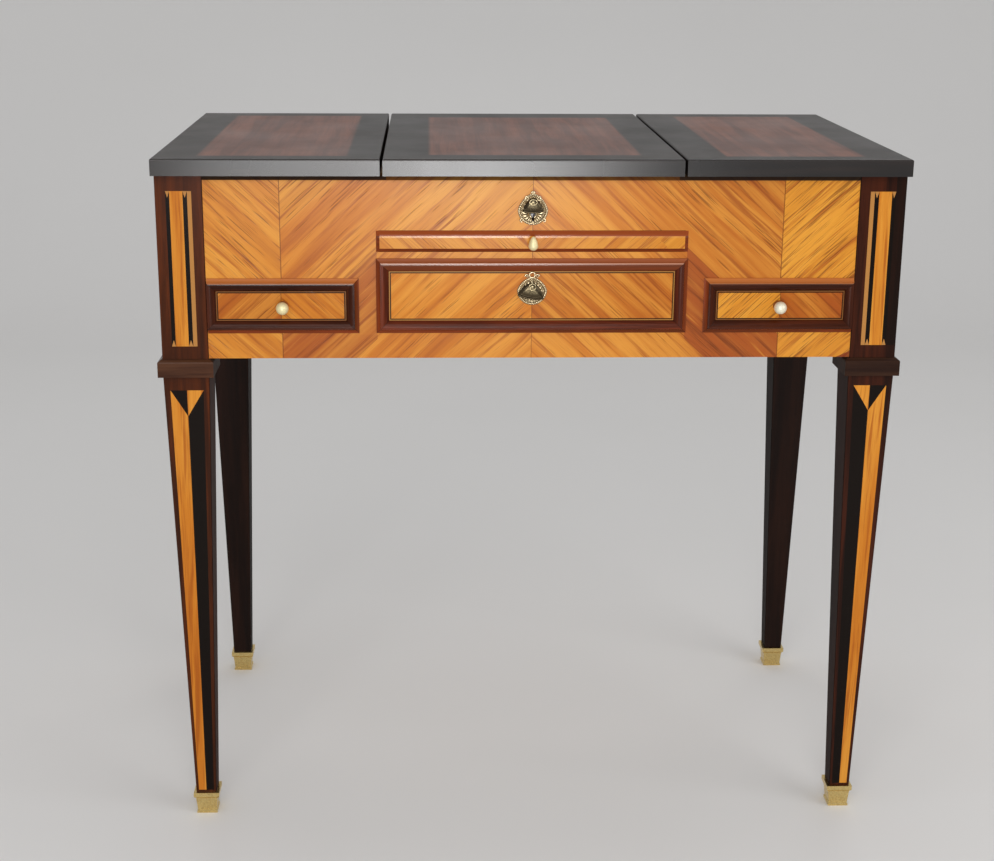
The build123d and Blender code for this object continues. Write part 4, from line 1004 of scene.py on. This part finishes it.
def keyhole_cover(name, node, body, material, plate_face, pivot, boss, tilt):
    """A domed bronze cover with a rolled lip and an oval boss over the rivet that it swings on.

    boss is the half width and half height of its ring; tilt is how far it hangs out of true.
    """
    low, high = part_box(node)
    width, bottom, top = high.x - low.x, low.z, high.z
    back = plate_face - PLATE_RELIEF - COVER_GAP
    edge, front = back - COVER_EDGE, back - COVER_EDGE - COVER_DOME
    corner = bottom + COVER_SAG
    hip = (width * COVER_HIP[0], bottom + (top - bottom) * COVER_HIP[1])
    lip = arc((-width / 2, corner), (0, bottom), (width / 2, corner), 40)
    right_side = arc((width / 2, corner), hip, (0, top), 24)
    left_side = arc((0, top), (-hip[0], hip[1]), (-width / 2, corner), 24)
    outline = lip + right_side + left_side
    shape = bmesh.new()
    rings = []
    steps = 12
    for step in range(1, steps + 1):
        share = step / steps
        height = COVER_EDGE + COVER_DOME * (1 - share**DOME_POWER)
        rings.append([(x * share, back - height, pivot.z + (z - pivot.z) * share) for x, z in outline])
    back_ring = [(x, back, z) for x, z in outline]
    rows = shell(shape, [*rings, back_ring])
    fan(shape, rows[0], (0, front, pivot.z))
    fan(shape, rows[-1], (0, back, pivot.z))
    roll = [(x, edge - 0.25 * MM, z + 1.0 * MM) for x, z in lip]
    last = len(roll) - 1
    roll_radii = [(0.75 + 0.45 * math.sin(math.pi * index / last)) * MM for index in range(len(roll))]
    add_tube(shape, roll, roll_radii, 10)
    ridge = [(x * 0.86, edge - 0.8 * MM, z + 3.1 * MM) for x, z in lip]
    add_tube(shape, ridge, RIDGE_WIRE, 6)
    ring = oval(boss[0], boss[1], front + 0.1 * MM, pivot.z, 32, closed=True)
    add_tube(shape, ring, BOSS_WIRE)
    add_bead(shape, (0, front + 0.3 * MM, pivot.z), (boss[0] * 0.62, 1.0 * MM, boss[1] * 0.62))
    turn = Matrix.Translation(pivot) @ Matrix.Rotation(tilt, 4, "Y") @ Matrix.Translation(-pivot)
    bmesh.ops.transform(shape, matrix=turn, verts=shape.verts)
    return finish_piece(name, shape, material, body, "gilt", node)


KNOB_RADIUS, KNOB_BELLY = 5.1 * MM, 5.0 * MM  # of the pear, and the height of its widest part
KNOB_STEM, KNOB_AXIS_Y = 2.4 * MM, -0.238
KNOB_TAPER = 0.22
STEM_PROFILE = (  # places in y, and the stem's radius there as a share of KNOB_STEM
    (SLIDE_FACE_Y, 1.5),
    (SLIDE_FACE_Y - 0.8 * MM, 1.5),
    (SLIDE_FACE_Y - 1.6 * MM, 1.0),
    (KNOB_AXIS_Y, 1.0),
)


def pear_knob(material):
    """The pear that the writing slide is pulled by, on a short stem."""
    low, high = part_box("slide_knob")
    length = high.z - low.z
    shape = bmesh.new()
    rings = []
    steps, sides = 26, 32
    for step in range(1, steps):
        rise = (1 - math.cos(math.pi * step / steps)) / 2 * length
        below = max(0.0, 1 - rise / KNOB_BELLY)
        above = max(0.0, (rise - KNOB_BELLY) / (length - KNOB_BELLY))
        roundness = math.sqrt(1 - below**2) * math.sqrt(1 - above**2)
        radius = KNOB_RADIUS * roundness * (1 - KNOB_TAPER * above)
        circle = oval(radius, -radius, low.z + rise, KNOB_AXIS_Y, sides)
        rings.append([(x, y, z) for x, z, y in circle])  # laid flat
    rows = shell(shape, rings)
    fan(shape, rows[0], (0, KNOB_AXIS_Y, low.z))
    fan(shape, rows[-1], (0, KNOB_AXIS_Y, high.z))
    stem_z = (low.z + high.z) / 2
    stem = []
    for y, share in STEM_PROFILE:
        stem.append(oval(KNOB_STEM * share, KNOB_STEM * share, y, stem_z, sides))
    shell(shape, stem)
    return finish_piece("slide_pear_knob", shape, material, "writing_slide", "brass", "slide_knob")


pear_knob(pale_brass)
lid_escutcheon(chased_material("gilt_on_lid", FACADE_Y, PLATE_RELIEF, GILT, GILT_DARK))
drawer_gilt = chased_material("gilt_on_drawer", FIELD_Y, PLATE_RELIEF, GILT, GILT_DARK)
drawer_escutcheon(drawer_gilt, FIELD_Y)
for place, face_y, boss, tilt in (
    ("lid", FACADE_Y, (4.0 * MM, 3.0 * MM), 0.0),
    ("drawer", FIELD_Y, (3.6 * MM, 3.6 * MM), math.radians(8)),
):
    bronze = chased_material(f"bronze_over_{place}", face_y, COVER_RELIEF, BRONZE, BRONZE_DARK, 0.92)
    names = (f"bronze_{place}_cover", f"{place}_keyhole_cover", f"{place}_cover")
    keyhole_cover(*names, bronze, face_y, joint_place(f"{place}_cover_pivot"), boss, tilt)


# ---- floor, light and camera
def make_floor():
    """A plain pale floor that runs up into a pale backdrop."""
    mesh = bpy.data.meshes.new("studio_floor")
    shape = bmesh.new()
    half, back, bend, height, steps = 6.0, 2.2, 1.0, 4.0, 12
    line = [(-half, 0.0)]
    for step in range(steps + 1):
        turn = step / steps * math.pi / 2
        line.append((back + bend * math.sin(turn), bend - bend * math.cos(turn)))
    line.append((back + bend, height))
    rows = [[shape.verts.new((x, y, z)) for x in (-half, half)] for y, z in line]
    for first, second in zip(rows, rows[1:]):
        shape.faces.new((first[0], first[1], second[1], second[0])).smooth = True
    shape.to_mesh(mesh)
    shape.free()
    floor = add_object("studio_floor", mesh)
    shade = Shade("pale_floor", roughness=0.85, specular=0.2)
    tone = shade.noise(shade.place, scale=3)
    mesh.materials.append(shade.finish(shade.mix(tone * 0.3, FLOOR_PALE, FLOOR_GREY)))


def add_area_light(name, place, target, size, power):
    """A white rectangular light that faces its target."""
    light = bpy.data.lights.new(name, "AREA")
    light.shape = "RECTANGLE"
    light.size, light.size_y = size
    light.energy = power
    lamp = add_object(name, light)
    lamp.location = place
    direction = Vector(target) - Vector(place)
    lamp.rotation_euler = direction.to_track_quat("-Z", "Y").to_euler()


def make_camera():
    """The camera that the photograph was taken with."""
    sine, cosine = math.sin(CAMERA_YAW), math.cos(CAMERA_YAW)
    level = math.cos(CAMERA_PITCH)
    forward = Vector((sine * level, cosine * level, math.sin(CAMERA_PITCH)))
    level_right = Vector((cosine, -sine, 0))
    level_down = forward.cross(level_right)
    right = math.cos(CAMERA_ROLL) * level_right + math.sin(CAMERA_ROLL) * level_down
    down = -math.sin(CAMERA_ROLL) * level_right + math.cos(CAMERA_ROLL) * level_down
    turn = Matrix((right, -down, -forward)).transposed()
    data = bpy.data.cameras.new("photo_camera")
    data.sensor_fit = "HORIZONTAL"
    data.sensor_width = SENSOR_WIDTH
    data.lens = FOCAL_PIXELS / IMAGE_WIDTH * SENSOR_WIDTH
    data.shift_x = (IMAGE_WIDTH / 2 - PRINCIPAL_POINT[0]) / IMAGE_WIDTH
    data.shift_y = (PRINCIPAL_POINT[1] - IMAGE_HEIGHT / 2) / IMAGE_WIDTH
    camera = add_object("photo_camera", data)
    camera.matrix_world = Matrix.Translation(CAMERA_PLACE) @ turn.to_4x4()
    bpy.context.scene.camera = camera


make_floor()
make_camera()
add_area_light("key", (-0.35, -2.6, 1.75), (0, 0, 0.55), (1.8, 1.2), 20.5)
add_area_light("low_front", (-0.16, -2.25, 0.55), (0, 0, 0.7), (0.9, 0.26), 6.0)
add_area_light("sheen", (0.0, -2.25, 0.42), (0, 0, 0.7), (0.34, 0.26), 3.0)
add_area_light("fill", (1.9, -1.4, 1.5), (0, 0, 0.55), (1.6, 1.6), 11)
add_area_light("back_light", (0.2, 1.6, 2.6), (0, 0.1, 0.7), (2.4, 0.8), 10)
world = bpy.data.worlds.new("studio")
world.use_nodes = True
background = world.node_tree.nodes["Background"]
background.inputs["Color"].default_value = (0.98, 0.98, 1.0, 1.0)
background.inputs["Strength"].default_value = 0.5
bpy.context.scene.world = world
bpy.context.scene.view_settings.view_transform = "Standard"
